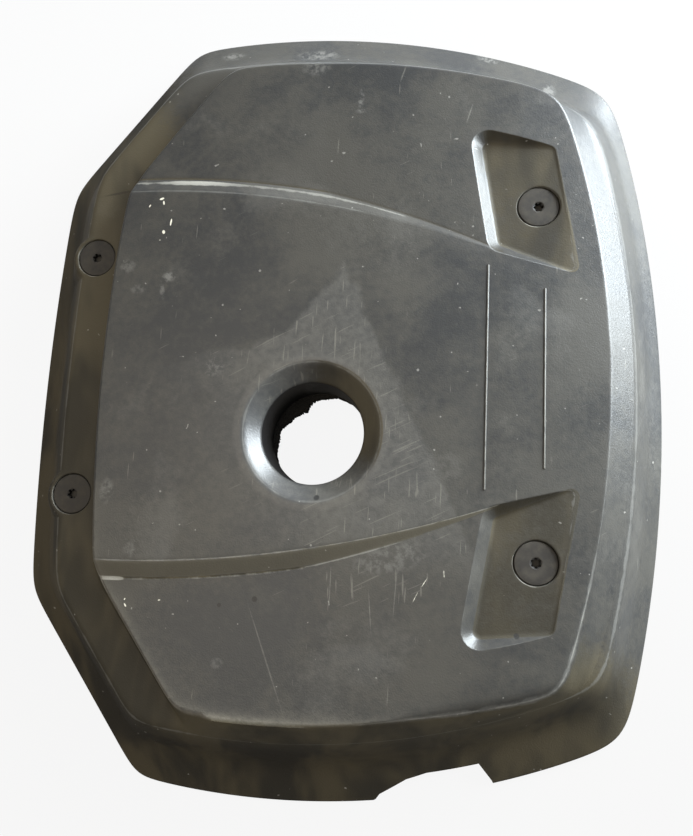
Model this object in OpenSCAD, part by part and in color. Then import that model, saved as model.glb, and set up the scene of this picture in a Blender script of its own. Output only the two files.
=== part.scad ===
/* [Overall size] */
// Length of the cover, along Y
cover_l = 557; // [540:1:580]
// Width of the cover, along X
cover_w = 444; // [434:1:456]
// Height of the crown above the hem
cover_h = 66; // [62:1:74]
// Wall thickness of the moulding
wall = 2.5; // [2:0.1:3]

/* [Outline] */
// Radius of the long bow of the rear edge
rear_bow_r = 2000; // [1600:50:3000]
// Radius of the same bow at the plateau edge
rear_edge_r = 1170; // [1000:10:1600]
// Radius of the bow of the front edge
front_bow_r = 880; // [800:10:1000]
// Radius of the same bow at the plateau edge
front_edge_r = 600; // [560:10:700]
// Where along Y the front edge is furthest out
front_apex_y = -10; // [-16:1:0]
// Radius of the bow of the two long sides
side_bow_r = 530; // [500:10:600]
// Where along X the side bows are widest
side_apex_x = -38; // [-50:1:-26]
// Distance of the cut rear corners from the origin
cut_d = 264; // [258:0.5:268]
// Direction of the cut rear corners, from the rear
cut_a = 37; // [35:0.1:39]

/* [Skirt] */
// Height of the upright hem edge
hem_h = 3; // [2.5:0.1:4]
// Height where the flared lip meets the skirt wall
lip_h = 15; // [12:1:18]
// Width of the lip at the rear, corner cuts, sides and front
lip_w = [18, 18, 27.5, 12];
// Depth of the rim where the ledge starts, below the crown
rim_drop = 25; // [23:1:28]
// Inset of the rim at the rear, corner cuts, sides and front
rim_in = [36, 33, 45, 26];
// Rise of the ledge from its rim to the plateau wall
ledge_rise = 1.5; // [1:0.1:2.5]
// Inset of the foot of the plateau wall, same order
foot_in = [65, 60, 46, 28];
// Inset of the plateau edge, same order
edge_in = [68, 63, 54, 40];
// Radius that rounds the plateau edge
edge_r = 5; // [4:0.5:6]

/* [Crown] */
// Where along X the crown is highest
crown_x = 0; // [-10:1:10]
// Radius of the crown along X
crown_rx = 1500; // [1400:10:1800]
// Radius of the crown along Y
crown_ry = 6600; // [5000:100:9000]
// Height of the middle panel over the two wings
panel_step = 4.5; // [3.5:0.1:5]
// Width of the bevel down the side of the middle panel
panel_bevel = 11; // [9:0.5:12]
// Where along X the middle panel is widest
panel_apex_x = -150; // [-160:1:-140]
// Half of the width of the middle panel at its widest
panel_half = 126; // [122:1:130]
// Radius of the two arcs that bound the middle panel
panel_arc_r = 760; // [740:5:800]
// Distance from the front edge to where the panel and the wings run together
blend_in = 102; // [96:1:108]
// Length over which the wings rise to the panel
blend_l = 130; // [110:5:150]

/* [Filler opening] */
// Place of the opening along X
fill_x = -9; // [-14:1:-4]
// Place of the opening along Y
fill_y = -39.5; // [-44:0.5:-35]
// Radius of the tube's bore
tube_r = 33; // [31:0.5:35]
// Radius of the funnel at its top edge
funnel_r = 45; // [43:0.5:47]
// Depth of the funnel
funnel_d = 10; // [8:0.5:11]

/* [Front pockets] */
// Depth of the pocket floor at its rear, below the crown
pocket_drop = 13; // [12:0.5:14]
// Rise of the pocket floor towards the front, where it runs out into the crown
pocket_rise = 5; // [4:0.1:5.2]
// Distances from the front edge to the rear and front end of the floor, at its outer side
pocket_outer_in = [127, 80];
// The same distances at its inner side
pocket_inner_in = [115, 64];
// Distance of the pocket floor's outer corners from the middle
pocket_outer_y = [161, 155];
// Distance of the pocket floor's inner corners from the middle
pocket_inner_y = [89, 67];
// Radius of the pocket's corners
pocket_r = 4; // [3:0.5:6]

/* [Screws] */
// Diameter of the flat disc head
head_d = 26.4; // [25:0.1:27]
// Thickness of the disc head
head_t = 2.4; // [2:0.1:3]
// Diameter of the hub under the head
hub_d = 12; // [11:0.1:13]
// Height of the hub under the head
hub_h = 3; // [2.5:0.1:3.5]
// Diameter of the thread
thread_d = 6; // [5.8:0.1:6]
// Length of the thread
thread_l = 17; // [14:1:19]
// Diameter of the slim neck between hub and thread
neck_d = 5; // [4.6:0.1:5.2]
// Length of the slim neck
neck_l = 10; // [9.5:0.5:11]
// Width of the six-lobed socket over its points
socket_d = 6.6; // [5.5:0.1:7]
// Depth of the socket
socket_depth = 3.6; // [3:0.1:4]
// Distance of the front screws from the front edge
front_screw_in = 90; // [89:0.5:91]
// Distance of the front screws from the middle
front_screw_y = 114.5; // [113:0.5:116]
// Distance of the rear screws from the rear edge
rear_screw_in = 48; // [47:0.5:49]
// Distance of the rear screws from the middle
rear_screw_y = 84; // [78:1:90]

/* [Screw seats] */
// Diameter of the counterbore round the head
bore_d = 28.8; // [28:0.1:31]
// Depth of the head's top below the floor round it
head_sink = 0.6; // [0.4:0.1:1]
// Diameter of the hole that holds the rubber bush
hole_d = 16; // [15.5:0.1:16.5]
// Thickness of the bush's upper flange
flange_t = 1.6; // [1.4:0.1:2]
// Diameter of the bush's upper flange
flange_d = 24; // [22:0.5:25]
// Diameter of the bush's lower flange
bulb_d = 22; // [20:0.5:23]
// Height of the bush below the moulding
bulb_h = 7; // [6:0.5:8]
// Outer diameter of the steel sleeve
sleeve_d = 9.8; // [9.6:0.1:10]
// Diameter of the sleeve's bottom flange
sleeve_flange_d = 15; // [14:0.5:16]
// Thickness of the sleeve's bottom flange
sleeve_flange_t = 1; // [0.8:0.1:1.4]
// Gap between round parts that slip into each other
slip = 0.1; // [0.05:0.01:0.2]

/* [Pad] */
// Height of the pad's underside above the hem
pad_z = 12; // [11:0.5:13]
// Thickness of the pad
pad_t = 8; // [6:0.5:9]
// Inset of the pad's edge from the hem
pad_in = 48; // [46:1:60]
// Diameter of the pad's holes round the screws
pad_hole_d = 42; // [38:1:46]
// Distance from the long side of the four side pins that hold the pad
pin_side_in = 113.5; // [104:0.5:118]
// Distances of the two middle pins from the rear and front edge
pin_end_in = [97, 82];
// Diameter of the pins
pin_d = 5; // [4:0.5:6]
// Diameter of the pins above their shoulder
pin_base_d = 9; // [8:0.5:10]
// How far the pins stick out below the retainers
pin_tip = 3; // [2:0.5:3.5]
// Diameter of the push-on retainers
clip_d = 18; // [16:0.5:20]
// Thickness of the push-on retainers
clip_t = 0.8; // [0.6:0.1:1]

/* [Ribs] */
// Thickness of the ribs under the crown
rib_t = 1.8; // [1.6:0.1:2]
// Depth of the ribs' lower edge below the crown
rib_drop = 22; // [20:1:24]
// Places along X of the two ribs that run from side to side
rib_x = [-85, 60];
// Distance of the two outer ribs that run front to back from the middle one
rib_y = 112; // [100:1:118]

/* [Raised lines and hem] */
// Height of the two raised lines on the front of the panel
line_h = 0.7; // [0.4:0.1:1]
// Width of the raised lines
line_w = 1.2; // [1:0.1:1.6]
// Distances of the raised lines from the front edge
line_in = [122, 86];
// Half of the length of each raised line
line_half = [71.5, 57];
// Where along X the cut-out in the right side's hem starts and ends
notch_x = [30, 116];
// Height of the cut-out
notch_h = 9.7; // [8:0.1:12]

/* [Hidden] */
eps = 0.01;
outer_steps = 120;
inner_steps = 60;
fill = [fill_x, fill_y];
rear_x = -cover_w / 2;
front_x = cover_w / 2;
side_y = cover_l / 2;
rim_h = cover_h - rim_drop;
rib_z = cover_h - rib_drop;
pocket_z = cover_h - pocket_drop;
blend_x = front_x - blend_in;
pocket_outer_x = [for (d = pocket_outer_in) front_x - d];
pocket_inner_x = [for (d = pocket_inner_in) front_x - d];
pocket_run = pocket_inner_x[1] - pocket_outer_x[0];
line_x = [for (d = line_in) front_x - d];
front_screw_x = front_x - front_screw_in;
rear_screw_x = rear_x + rear_screw_in;
bore_deep = head_sink + head_t + flange_t;
plate_z = bore_deep + wall;
boss_r = bore_d / 2 + wall;
pad_top = pad_z + pad_t;
front_z = pocket_floor(front_screw_x);
rear_z = rim_h + ledge_rise * (rear_screw_in - rim_in[0]) / (foot_in[0] - rim_in[0]);
front_left = [front_screw_x, front_screw_y, front_z];
front_right = [front_screw_x, -front_screw_y, front_z];
rear_left = [rear_screw_x, rear_screw_y, rear_z];
rear_right = [rear_screw_x, -rear_screw_y, rear_z];
screws = [front_left, front_right, rear_left, rear_right];
side_pins = [for (x = rib_x, side = [-1, 1]) [x, side * (side_y - pin_side_in)]];
pins = concat(side_pins, [[rear_x + pin_end_in[0], 0], [front_x - pin_end_in[1], 0]]);
corner_power = 70;
front_power = 40;

// Height of the pocket floor at a place along X
function pocket_floor(x) = pocket_z + pocket_rise * (x - pocket_outer_x[0]) / pocket_run;

// Drop of the wings below the middle panel
function wing_drop(x) = max(0.06, panel_step * min(1, (blend_x - x) / blend_l));

// Height of the crown, with low = 1 over the wings and 0 over the panel
function crown(p, low) = cover_h - pow(p[0] - crown_x, 2) / (2 * crown_rx)
    - pow(p[1], 2) / (2 * crown_ry) - low * wing_drop(p[0]);

// One over the distance from the opening to a bow, along the direction u
function near_bow(u, c, r) = let (v = c - fill, b = u * v) 1 / (b + sqrt(b * b - v * v + r * r));

// One over the distance from the opening to a straight cut, along the direction u
function near_cut(u, n, d) = max(0, n * u) / (d - n * fill);

// Distance to the outline along the angle a, with the insets of rear, cuts, sides and front
function reach(a, in) = let (
    u = [cos(a), sin(a)],
    up = min(1, in[0] / edge_in[0]),
    rear_r = rear_bow_r + (rear_edge_r - rear_bow_r) * up,
    front_r = front_bow_r + (front_edge_r - front_bow_r) * up,
    rear = near_bow(u, [rear_x + in[0] + rear_r, 0], rear_r),
    left_cut = near_cut(u, [-cos(cut_a), sin(cut_a)], cut_d - in[1]),
    right_cut = near_cut(u, [-cos(cut_a), -sin(cut_a)], cut_d - in[1]),
    left = near_bow(u, [side_apex_x, side_y - side_bow_r], side_bow_r - in[2]),
    right = near_bow(u, [side_apex_x, side_bow_r - side_y], side_bow_r - in[2]),
    front = near_bow(u, [front_x - in[3] - front_r, front_apex_y * (1 - up)], front_r),
    near = [for (edge = [rear, left_cut, right_cut, left, right]) pow(front_x * edge, corner_power)],
    back = pow(near * [1, 1, 1, 1, 1], 1 / corner_power))
    front_x / pow(pow(back, front_power) + pow(front_x * front, front_power), 1 / front_power);

// One ring of the form at a fixed height
function ring_flat(n, in, z) = [for (j = [0 : n - 1])
    let (a = 360 * j / n, p = fill + reach(a, in) * [cos(a), sin(a)]) [p[0], p[1], z]];

// One ring of the form at a depth below the crown
function ring_crown(n, in, drop, low, part = 1) = [for (j = [0 : n - 1])
    let (a = 360 * j / n, p = fill + part * reach(a, in) * [cos(a), sin(a)])
    [p[0], p[1], crown(p, low) - drop]];

// Insets grown by the depth w under the skin, times k at the rear and cuts and m elsewhere
function deeper(in, w, k, m) = in + w * [k, k, m, m];

// All rings of the form at the depth w under the skin
function form_rings(n, w, low) = let (
    none = [0, 0, 0, 0],
    r = edge_r - 0.6 * w,
    edge = deeper(edge_in, w, 0.9, 0.8))
    concat(
        [ring_flat(n, deeper(none, w, 1, 1), -w)],
        [ring_flat(n, deeper(none, w, 1, 1), hem_h - 0.7 * w)],
        [ring_flat(n, deeper(lip_w, w, 0.68, 0.68), lip_h - 0.8 * w)],
        [ring_flat(n, deeper(rim_in, w, 0.56, 0.56), rim_h - 0.97 * w)],
        [ring_flat(n, deeper(foot_in, w, 0.8, 0.56), rim_h + ledge_rise - 0.97 * w)],
        [for (t = w > 0 ? [20, 90] : [15, 42, 66, 90])
            ring_crown(n, edge + r * (1 - cos(t)) * [1, 1, 1.2, 1.8], w + r * (1 - sin(t)), low)],
        [for (part = w > 0 ? [0.65, 0.3] : [0.7, 0.4])
            ring_crown(n, edge + r * [1, 1, 1.2, 1.8], w, low, part)]);

// Solid through rings of equal size, closed by a flat face below and a point above
module loft(rings, peak) {
    n = len(rings[0]);
    m = len(rings);
    side = [for (i = [0 : m - 2], j = [0 : n - 1]) let (a = i * n + j, b = i * n + (j + 1) % n)
        each [[a, a + n, b + n], [a, b + n, b]]];
    cap = [for (j = [0 : n - 1]) [(m - 1) * n + j, n * m, (m - 1) * n + (j + 1) % n]];
    polyhedron(points = concat([for (r = rings) each r], [peak]),
        faces = concat([[for (j = [0 : n - 1]) j]], side, cap));
}

// Height on the panel's arc and width of its bevel at a station along X
function arc_y(x, w) = sqrt(pow(panel_arc_r - w, 2) - pow(x - panel_apex_x, 2)) + panel_half - panel_arc_r;
function bevel(x) = panel_bevel * wing_drop(x) / panel_step;

// Prism that keeps the middle panel, with bevelled sides, at the depth w under the skin
module panel_prism(w) {
    over = 2;
    xs = [for (i = [0 : 22]) 0.96 * (rear_x + cover_w * i / 22)];
    function half(x, z) = arc_y(x, 0.5 * w) - bevel(x) * z / wing_drop(x);
    function row(x, side) = let (top = crown([x, side * arc_y(x, 0)], 0) - w)
        [[x, side * half(x, over), top + over],
         [x, side * half(x, -wing_drop(x) - over), top - wing_drop(x) - over],
         [x, side * half(x, -wing_drop(x) - over), 10]];
    pts = [for (x = xs) each concat(row(x, 1), [for (k = [2, 1, 0]) row(x, -1)[k]])];
    m = len(xs);
    skin = [for (i = [0 : m - 2], k = [0 : 5]) let (a = 6 * i + k, b = 6 * i + (k + 1) % 6)
        each [[a, b + 6, a + 6], [a, b, b + 6]]];
    polyhedron(points = pts,
        faces = concat([[for (k = [5 : -1 : 0]) k]], skin, [[for (k = [0 : 5]) 6 * (m - 1) + k]]));
}

// The whole outer form, drawn in to the depth w under the skin
module form(w, n) {
    loft(form_rings(n, w, 1), [fill[0], fill[1], crown(fill, 1) - w]);
    intersection() {
        loft(form_rings(n, w, 0), [fill[0], fill[1], crown(fill, 0) - w]);
        panel_prism(w);
    }
    for (s = [rear_left, rear_right]) translate([s[0], s[1], -w])
        cylinder(h = s[2], r1 = boss_r + 0.5 * s[2] - w, r2 = boss_r - w, $fn = 48);
}

// Hollow of a pocket, grown by the depth w, on the left or right side
module pocket(side, w) {
    depth = 16;
    grow = 0.41 * w;
    tilt = atan(pocket_rise / pocket_run);
    outer = [for (k = [0, 1]) [pocket_outer_x[k], side * pocket_outer_y[k]]];
    inner = [for (k = [1, 0]) [pocket_inner_x[k], side * pocket_inner_y[k]]];
    module floor_plan(g) offset(r = pocket_r + g) offset(delta = -pocket_r) polygon(concat(outer, inner));
    translate([pocket_outer_x[0], 0, pocket_z - w]) rotate([0, -tilt, 0])
        translate([-pocket_outer_x[0], 0, 0]) hull() {
            linear_extrude(eps) floor_plan(grow);
            translate([0, 0, depth]) linear_extrude(eps) floor_plan(grow + depth);
        }
}

// Funnel and tube of the filler opening, grown outward by the depth w
module funnel(w) {
    top = crown(fill, 0);
    slope = (funnel_r - tube_r) / funnel_d;
    translate([fill_x, fill_y, 0]) rotate_extrude($fn = 72)
        polygon([[0, pad_top - (w > 0 ? 0 : 1)], [tube_r + w, pad_top - (w > 0 ? 0 : 1)],
            [tube_r + w, top - funnel_d - 0.4 * w], [funnel_r + 1.2 * w, top - 0.4 * w],
            [funnel_r + slope * 4 + 1.2 * w, top + (w > 0 ? -0.4 * w : 4)],
            [0, top + (w > 0 ? -0.4 * w : 4)]]);
}

// Cut-out in the hem of the right side
module hem_notch() {
    from = notch_x[0];
    to = notch_x[1];
    translate([0, -side_y - 5, 0]) rotate([90, 0, 180]) mirror([1, 0, 0])
        linear_extrude(60) polygon([[from, -1], [from + 10, 0.5 * notch_h], [from + 27, 0.88 * notch_h],
            [from + 40, notch_h], [to - 13, notch_h], [to - 4, 0.4 * notch_h], [to, -1]]);
}

// Raised line across the front of the panel
module raised_line(x, half) hull() for (k = [-1, 0, 1])
    translate([x, k * half, 40]) cylinder(h = crown([x, k * half], 0) + line_h - 40, d = line_w, $fn = 12);

// Ribs that stiffen the underside of the crown
module ribs() {
    for (x = rib_x) translate([x - rib_t / 2, -side_y, rib_z]) cube([rib_t, cover_l, cover_h]);
    for (y = rib_y * [-1, 0, 1]) translate([rear_x, y - rib_t / 2, rib_z]) cube([cover_w, rib_t, cover_h]);
}

// Pins that carry the pad, from the crown down through it
module pad_pins() for (p = pins) {
    translate([p[0], p[1], pad_top]) cylinder(h = cover_h, d = pin_base_d, $fn = 16);
    translate([p[0], p[1], pad_z - pin_tip]) cylinder(h = cover_h, d = pin_d, $fn = 24);
}

// Hollow of the underside, up to the wall and clear of all that is moulded on it
module hollow() difference() {
    form(wall, inner_steps);
    for (side = [-1, 1]) pocket(side, wall);
    difference() {
        ribs();
        for (s = screws) translate([s[0], s[1], 0]) cylinder(h = cover_h, d = pad_hole_d, $fn = 24);
    }
    pad_pins();
    funnel(wall);
    for (s = screws) translate([s[0], s[1], s[2] - plate_z]) cylinder(h = cover_h, r = boss_r, $fn = 48);
}

// The moulded cover, one thin shell with everything that is moulded on it
module cover_shell() color([0.2, 0.2, 0.21]) difference() {
    union() {
        form(0, outer_steps);
        for (k = [0, 1]) raised_line(line_x[k], line_half[k]);
    }
    for (side = [-1, 1]) pocket(side, 0);
    hollow();
    funnel(0);
    hem_notch();
    for (s = screws) translate(s) {
        translate([0, 0, -bore_deep]) cylinder(h = 20, d = bore_d, $fn = 48);
        translate([0, 0, -20]) cylinder(h = 20, d = hole_d, $fn = 32);
    }
}

// Screw with a flat disc head, a hub, a slim neck and a thread; the floor round it is at zero
module screw() color([0.16, 0.15, 0.15]) difference() {
    under = -head_sink - head_t;
    neck_z = under - hub_h;
    thread_z = neck_z - neck_l;
    tip_z = thread_z - thread_l;
    rotate_extrude($fn = 96) polygon([[0, -head_sink], [head_d / 2 - 0.8, -head_sink],
        [head_d / 2, -head_sink - 0.6], [head_d / 2, under], [hub_d / 2, under], [hub_d / 2, neck_z],
        [neck_d / 2, neck_z], [neck_d / 2, thread_z], [thread_d / 2, thread_z], [thread_d / 2, tip_z],
        [thread_d / 2 - 1, tip_z - 1], [0, tip_z - 1]]);
    translate([0, 0, -head_sink - socket_depth]) linear_extrude(socket_depth + 1) socket_plan();
    translate([0, 0, -head_sink - 0.7])
        cylinder(h = 1, r1 = socket_d / 2 - 0.7, r2 = socket_d / 2 + 0.5, $fn = 48);
}

// Six-lobed socket
module socket_plan() {
    lobe_r = 0.13 * socket_d;
    circle(r = 0.36 * socket_d, $fn = 36);
    for (k = [0 : 5]) rotate(60 * k) translate([socket_d / 2 - lobe_r, 0]) circle(r = lobe_r, $fn = 24);
}

// Rubber bush that holds a screw in the moulding
module bush() color([0.1, 0.1, 0.1]) rotate_extrude($fn = 96) polygon([
    [hub_d / 2 + slip, -head_sink - head_t], [flange_d / 2, -head_sink - head_t],
    [flange_d / 2, -bore_deep], [hole_d / 2 - slip, -bore_deep], [hole_d / 2 - slip, -plate_z],
    [bulb_d / 2, -plate_z], [bulb_d / 2, -plate_z - 2], [hole_d / 2, -plate_z - bulb_h],
    [sleeve_d / 2 + slip, -plate_z - bulb_h], [sleeve_d / 2 + slip, -head_sink - head_t - hub_h],
    [hub_d / 2 + slip, -head_sink - head_t - hub_h]]);

// Steel sleeve that takes the clamp load, between the screw's hub and the engine
module sleeve() color([0.6, 0.6, 0.6]) {
    top = -head_sink - head_t - hub_h;
    foot = -plate_z - bulb_h;
    rotate_extrude($fn = 96) polygon([[thread_d / 2 + 3 * slip, top], [sleeve_d / 2, top],
        [sleeve_d / 2, foot], [sleeve_flange_d / 2, foot], [sleeve_flange_d / 2, foot - sleeve_flange_t],
        [thread_d / 2 + 3 * slip, foot - sleeve_flange_t]]);
}

// Plan of the hem drawn in by the same distance all round
module hem_plan(in) polygon([for (j = [0 : inner_steps - 1])
    let (a = 360 * j / inner_steps) fill + reach(a, [in, in, in, in]) * [cos(a), sin(a)]]);

// Foam pad across the hollow underside, with a torn edge round the filler opening
module foam_pad() color([0.12, 0.11, 0.1]) translate([0, 0, pad_z]) linear_extrude(pad_t) difference() {
    hem_plan(pad_in);
    translate(fill) polygon([for (k = [0 : 47]) let (a = 7.5 * k,
        torn = max(0, cos(a - 132)), rag = sin(5 * a) + 0.7 * sin(11 * a + 40))
        (tube_r + 1 - 9 * pow(torn, 2) + 1.3 * torn * rag) * [cos(a), sin(a)]]);
    for (s = screws) translate([s[0], s[1]]) circle(d = pad_hole_d, $fn = 48);
    for (p = pins) translate(p) circle(d = pin_d + 2 * slip, $fn = 24);
}

// Push-on retainer under the pad: a dished washer that grips its pin
module retainer(k) color([0.55, 0.55, 0.53]) translate([pins[k][0], pins[k][1], pad_z])
    rotate_extrude($fn = 64) polygon([[pin_d / 2 + slip, -clip_t - 0.8], [clip_d / 4, -clip_t],
        [clip_d / 2, -clip_t], [clip_d / 2, 0], [clip_d / 4, 0], [pin_d / 2 + slip, -0.8]]);

cover_shell();
translate(front_left) screw();  // front_left_screw
translate(front_right) screw();  // front_right_screw
translate(rear_left) screw();  // rear_left_screw
translate(rear_right) screw();  // rear_right_screw
translate(front_left) bush();  // front_left_bush
translate(front_right) bush();  // front_right_bush
translate(rear_left) bush();  // rear_left_bush
translate(rear_right) bush();  // rear_right_bush
translate(front_left) sleeve();  // front_left_sleeve
translate(front_right) sleeve();  // front_right_sleeve
translate(rear_left) sleeve();  // rear_left_sleeve
translate(rear_right) sleeve();  // rear_right_sleeve
foam_pad();
retainer(0);  // retainer_1
retainer(1);  // retainer_2
retainer(2);  // retainer_3
retainer(3);  // retainer_4
retainer(4);  // retainer_5
retainer(5);  // retainer_6
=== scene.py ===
# %% [markdown]
# # An engine cover
# This lesson dresses the plastic cover that lies over the top of a car engine. Its exact solids come
# packed in model.glb, and they fix every size. What we add is what a solid model leaves out:
# soft moulded edges, dust, scratches, threads and foam.
#
# The frame is loaded first. Everything is in metres: +X is the sloped front flange, +Z is up.

# %% Load the frame
import math
import time

import bmesh
import bpy
import numpy as np
from mathutils import Matrix, Vector
from mathutils.geometry import delaunay_2d_cdt


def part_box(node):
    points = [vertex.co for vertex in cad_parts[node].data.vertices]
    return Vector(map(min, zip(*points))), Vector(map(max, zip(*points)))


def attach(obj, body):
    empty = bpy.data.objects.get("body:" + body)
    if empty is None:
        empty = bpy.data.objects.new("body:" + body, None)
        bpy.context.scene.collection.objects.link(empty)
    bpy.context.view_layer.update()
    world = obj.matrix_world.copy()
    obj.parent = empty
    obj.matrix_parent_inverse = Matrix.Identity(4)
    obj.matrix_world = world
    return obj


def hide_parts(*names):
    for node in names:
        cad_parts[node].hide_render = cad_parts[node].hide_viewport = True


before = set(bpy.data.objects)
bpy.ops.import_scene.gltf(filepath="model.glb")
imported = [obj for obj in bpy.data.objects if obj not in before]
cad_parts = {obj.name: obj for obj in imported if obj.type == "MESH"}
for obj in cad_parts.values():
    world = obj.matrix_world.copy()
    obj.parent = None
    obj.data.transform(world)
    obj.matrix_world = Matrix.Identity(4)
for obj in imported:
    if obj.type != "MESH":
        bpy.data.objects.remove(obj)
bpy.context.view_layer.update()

started = time.time()

# %% [markdown]
# ## The camera
# The photo was taken by hand from almost straight above. The camera's place and turn were solved
# from features that mirror each other across the cover, so the model lines up with the picture.
# A matrix built from the three axes of the camera is the plainest way to set such a view.

# %% Camera
PHOTO_H = 836
FOCAL_PX = 746.0
SENSOR_MM = 36.0

camera_data = bpy.data.cameras.new("photo_camera")
camera_data.sensor_fit = "VERTICAL"
camera_data.sensor_height = SENSOR_MM
camera_data.lens = FOCAL_PX / PHOTO_H * SENSOR_MM
camera = bpy.data.objects.new("photo_camera", camera_data)
bpy.context.scene.collection.objects.link(camera)
CAMERA_PLACE = Vector((0.06956, -0.10552, 0.52437))
camera_right = Vector((0.99245, 0.04792, -0.11292)).normalized()
camera_back = Vector((0.11921, -0.16004, 0.97988)).normalized()
camera_up = camera_back.cross(camera_right)
turn = Matrix((camera_right, camera_up, camera_back)).transposed().to_4x4()
camera.matrix_world = Matrix.Translation(CAMERA_PLACE) @ turn
bpy.context.scene.camera = camera
print("lens", round(camera_data.lens, 2), "mm")

# %% [markdown]
# ## Sizes of the moulding
# The moulding is drawn as a height over the ground plan, so each size below is a height, an inset
# from the lower edge or a place in plan. They are in millimetres, the unit of the drawing, and the
# length and width come from the frame. Insets go in the order rear, corner cuts, sides, front.

# %% Sizes
MM = 0.001
shell_low, shell_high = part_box("cover_shell")
COVER_W = (shell_high.x - shell_low.x) / MM
COVER_L = (shell_high.y - shell_low.y) / MM
COVER_H = 66.0
WALL = 2.5

REAR_BOW, REAR_EDGE_BOW = 2000.0, 1170.0
FRONT_BOW, FRONT_EDGE_BOW = 880.0, 600.0
FRONT_APEX_Y = -10.0
SIDE_BOW, SIDE_EDGE_BOW = 530.0, 709.0
SIDE_APEX_X, SIDE_EDGE_SHIFT = -38.0, 2.5
CUT_DISTANCE, CUT_ANGLE = 264.0, math.radians(37.0)
CORNER_POWER, PLATEAU_POWER, FRONT_POWER = 70, 58, 40

LEVELS = {
    "hem": ((0, 0, 0, 0), 3.0),
    "lip": ((18, 18, 27.5, 12), 15.0),
    "rim": ((36, 33, 45, 26), 41.0),
    "foot": ((63, 61.4, 46.2, 28), 42.5),
    "edge": ((67, 65.5, 59, 43.5), None),
}
EDGE_DROP = 1.0
WORN_CORNER = math.radians(-46)

CROWN_RX, CROWN_RY = 1500.0, 6600.0
PANEL_STEP, PANEL_BEVEL = 4.5, 11.0
PANEL_APEX_X, PANEL_HALF, PANEL_ARC = -150.0, 126.0, 760.0
BLEND_X, BLEND_L = 120.0, 130.0

OPENING = np.array((-9.0, -39.5))
TUBE_R, FUNNEL_R, FUNNEL_DEPTH = 33.0, 45.0, 10.0

POCKET_Z, POCKET_RISE = 53.0, 5.0
POCKET_CORNERS = ((95, 161), (142, 155), (158, 67), (107, 89))
POCKET_ROUND = 4.0

SCREW_PLACES = {
    "front_left": (132.0, 114.5),
    "front_right": (132.0, -114.5),
    "rear_left": (-174.0, 84.0),
    "rear_right": (-174.0, -84.0),
}
SEAT_R, SEAT_DEPTH, SEAT_HOLE_R, BOSS_R = 13.7, 4.6, 8.0, 16.9
RIDGES = ((100.0, 71.5), (136.0, 57.0))
RIDGE_H, RIDGE_W = 0.7, 1.2

LIP_ROUND, RIM_ROUND, FOOT_ROUND, EDGE_ROUND = 14.0, 8.0, 4.0, 4.0
NARROW_LEDGE, NARROW_OVER = 11.0, 8.0
CREST_ROUND, PANEL_FOOT_ROUND = 12.0, 3.0
BOSS_ROUND, BOSS_SLOPE = 3.0, 2.0
POCKET_FOLD, POCKET_RIM = 5.0, 1.1
FUNNEL_ROUND, TUBE_TURN = 7.0, 1.5
SEAT_TURN, HEM_TURN = 0.9, 1.2
print("cover", round(COVER_W), "x", round(COVER_L), "x", round(COVER_H), "mm")

# %% [markdown]
# ## The outline
# Every horizontal cut through the skirt has the same kind of outline: a flat bow at the rear, two
# straight corner cuts, two bowed sides and a bowed front. For a direction seen from the filler
# opening, each edge gives one over its distance. Adding those with a high power picks the nearest
# edge and rounds the corner where two of them are equally near.

# %% Outline


def polar(p):
    """Distance from the opening and unit direction of plan points."""
    v = p - OPENING
    rho = np.maximum(np.linalg.norm(v, axis=1), 1e-6)
    return rho, v / rho[:, None]


def near_bow(u, centre, radius):
    """One over the distance from the opening to a bow, along the directions u."""
    v = np.asarray(centre) - OPENING
    b = u @ v
    return 1 / (b + np.sqrt(b * b - v @ v + radius * radius))


def near_cut(u, side, distance):
    """One over the distance from the opening to a corner cut, along the directions u."""
    normal = np.array((-math.cos(CUT_ANGLE), side * math.sin(CUT_ANGLE)))
    return np.maximum(0, u @ normal) / (distance - normal @ OPENING)


def reach(u, inset):
    """Distance from the opening to the outline drawn in by the four insets."""
    up = min(1, inset[0] / LEVELS["edge"][0][0])
    rear_r = REAR_BOW + (REAR_EDGE_BOW - REAR_BOW) * up
    front_r = FRONT_BOW + (FRONT_EDGE_BOW - FRONT_BOW) * up
    scale = COVER_W / 2
    back = [near_bow(u, (rear_r - scale + inset[0], 0), rear_r)]
    back += [near_cut(u, side, CUT_DISTANCE - inset[1]) for side in (-1, 1)]
    rim_side, edge_side = LEVELS["rim"][0][2], LEVELS["edge"][0][2]
    side_up = min(1, max(0, (inset[2] - rim_side) / (edge_side - rim_side))) ** 2
    side_r = SIDE_BOW + (SIDE_EDGE_BOW - SIDE_BOW) * side_up
    for side in (-1, 1):
        centre = (SIDE_APEX_X, side * (COVER_L / 2 - side_r) + SIDE_EDGE_SHIFT * side_up)
        back.append(near_bow(u, centre, side_r - inset[2]))
    front = near_bow(u, (scale - inset[3] - front_r, FRONT_APEX_Y * (1 - up)), front_r)
    power = CORNER_POWER + (PLATEAU_POWER - CORNER_POWER) * up
    back = sum((scale * b) ** power for b in back) ** (1 / power)
    return scale / (back**FRONT_POWER + (scale * front) ** FRONT_POWER) ** (1 / FRONT_POWER)


def ring(inset, count):
    """Points round the outline at an inset, in plan."""
    a = np.arange(count) * 2 * math.pi / count
    u = np.stack((np.cos(a), np.sin(a)), 1)
    return OPENING + u * reach(u, inset)[:, None]


print("outline half width", round(float(np.abs(ring((0, 0, 0, 0), 720)[:, 1]).max()), 1), "mm")

# %% [markdown]
# ## Soft corners
# A mould has no sharp edges. Where two slopes meet, the height bends from one to the other along a
# small arc. The function below takes both heights and both slopes and returns the height with the
# arc in it, and how near each point is to the middle of the arc. That second number is kept,
# because outward corners are where a cover gets rubbed bright, and inward ones are painted darker brown.

# %% Soft corners


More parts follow.
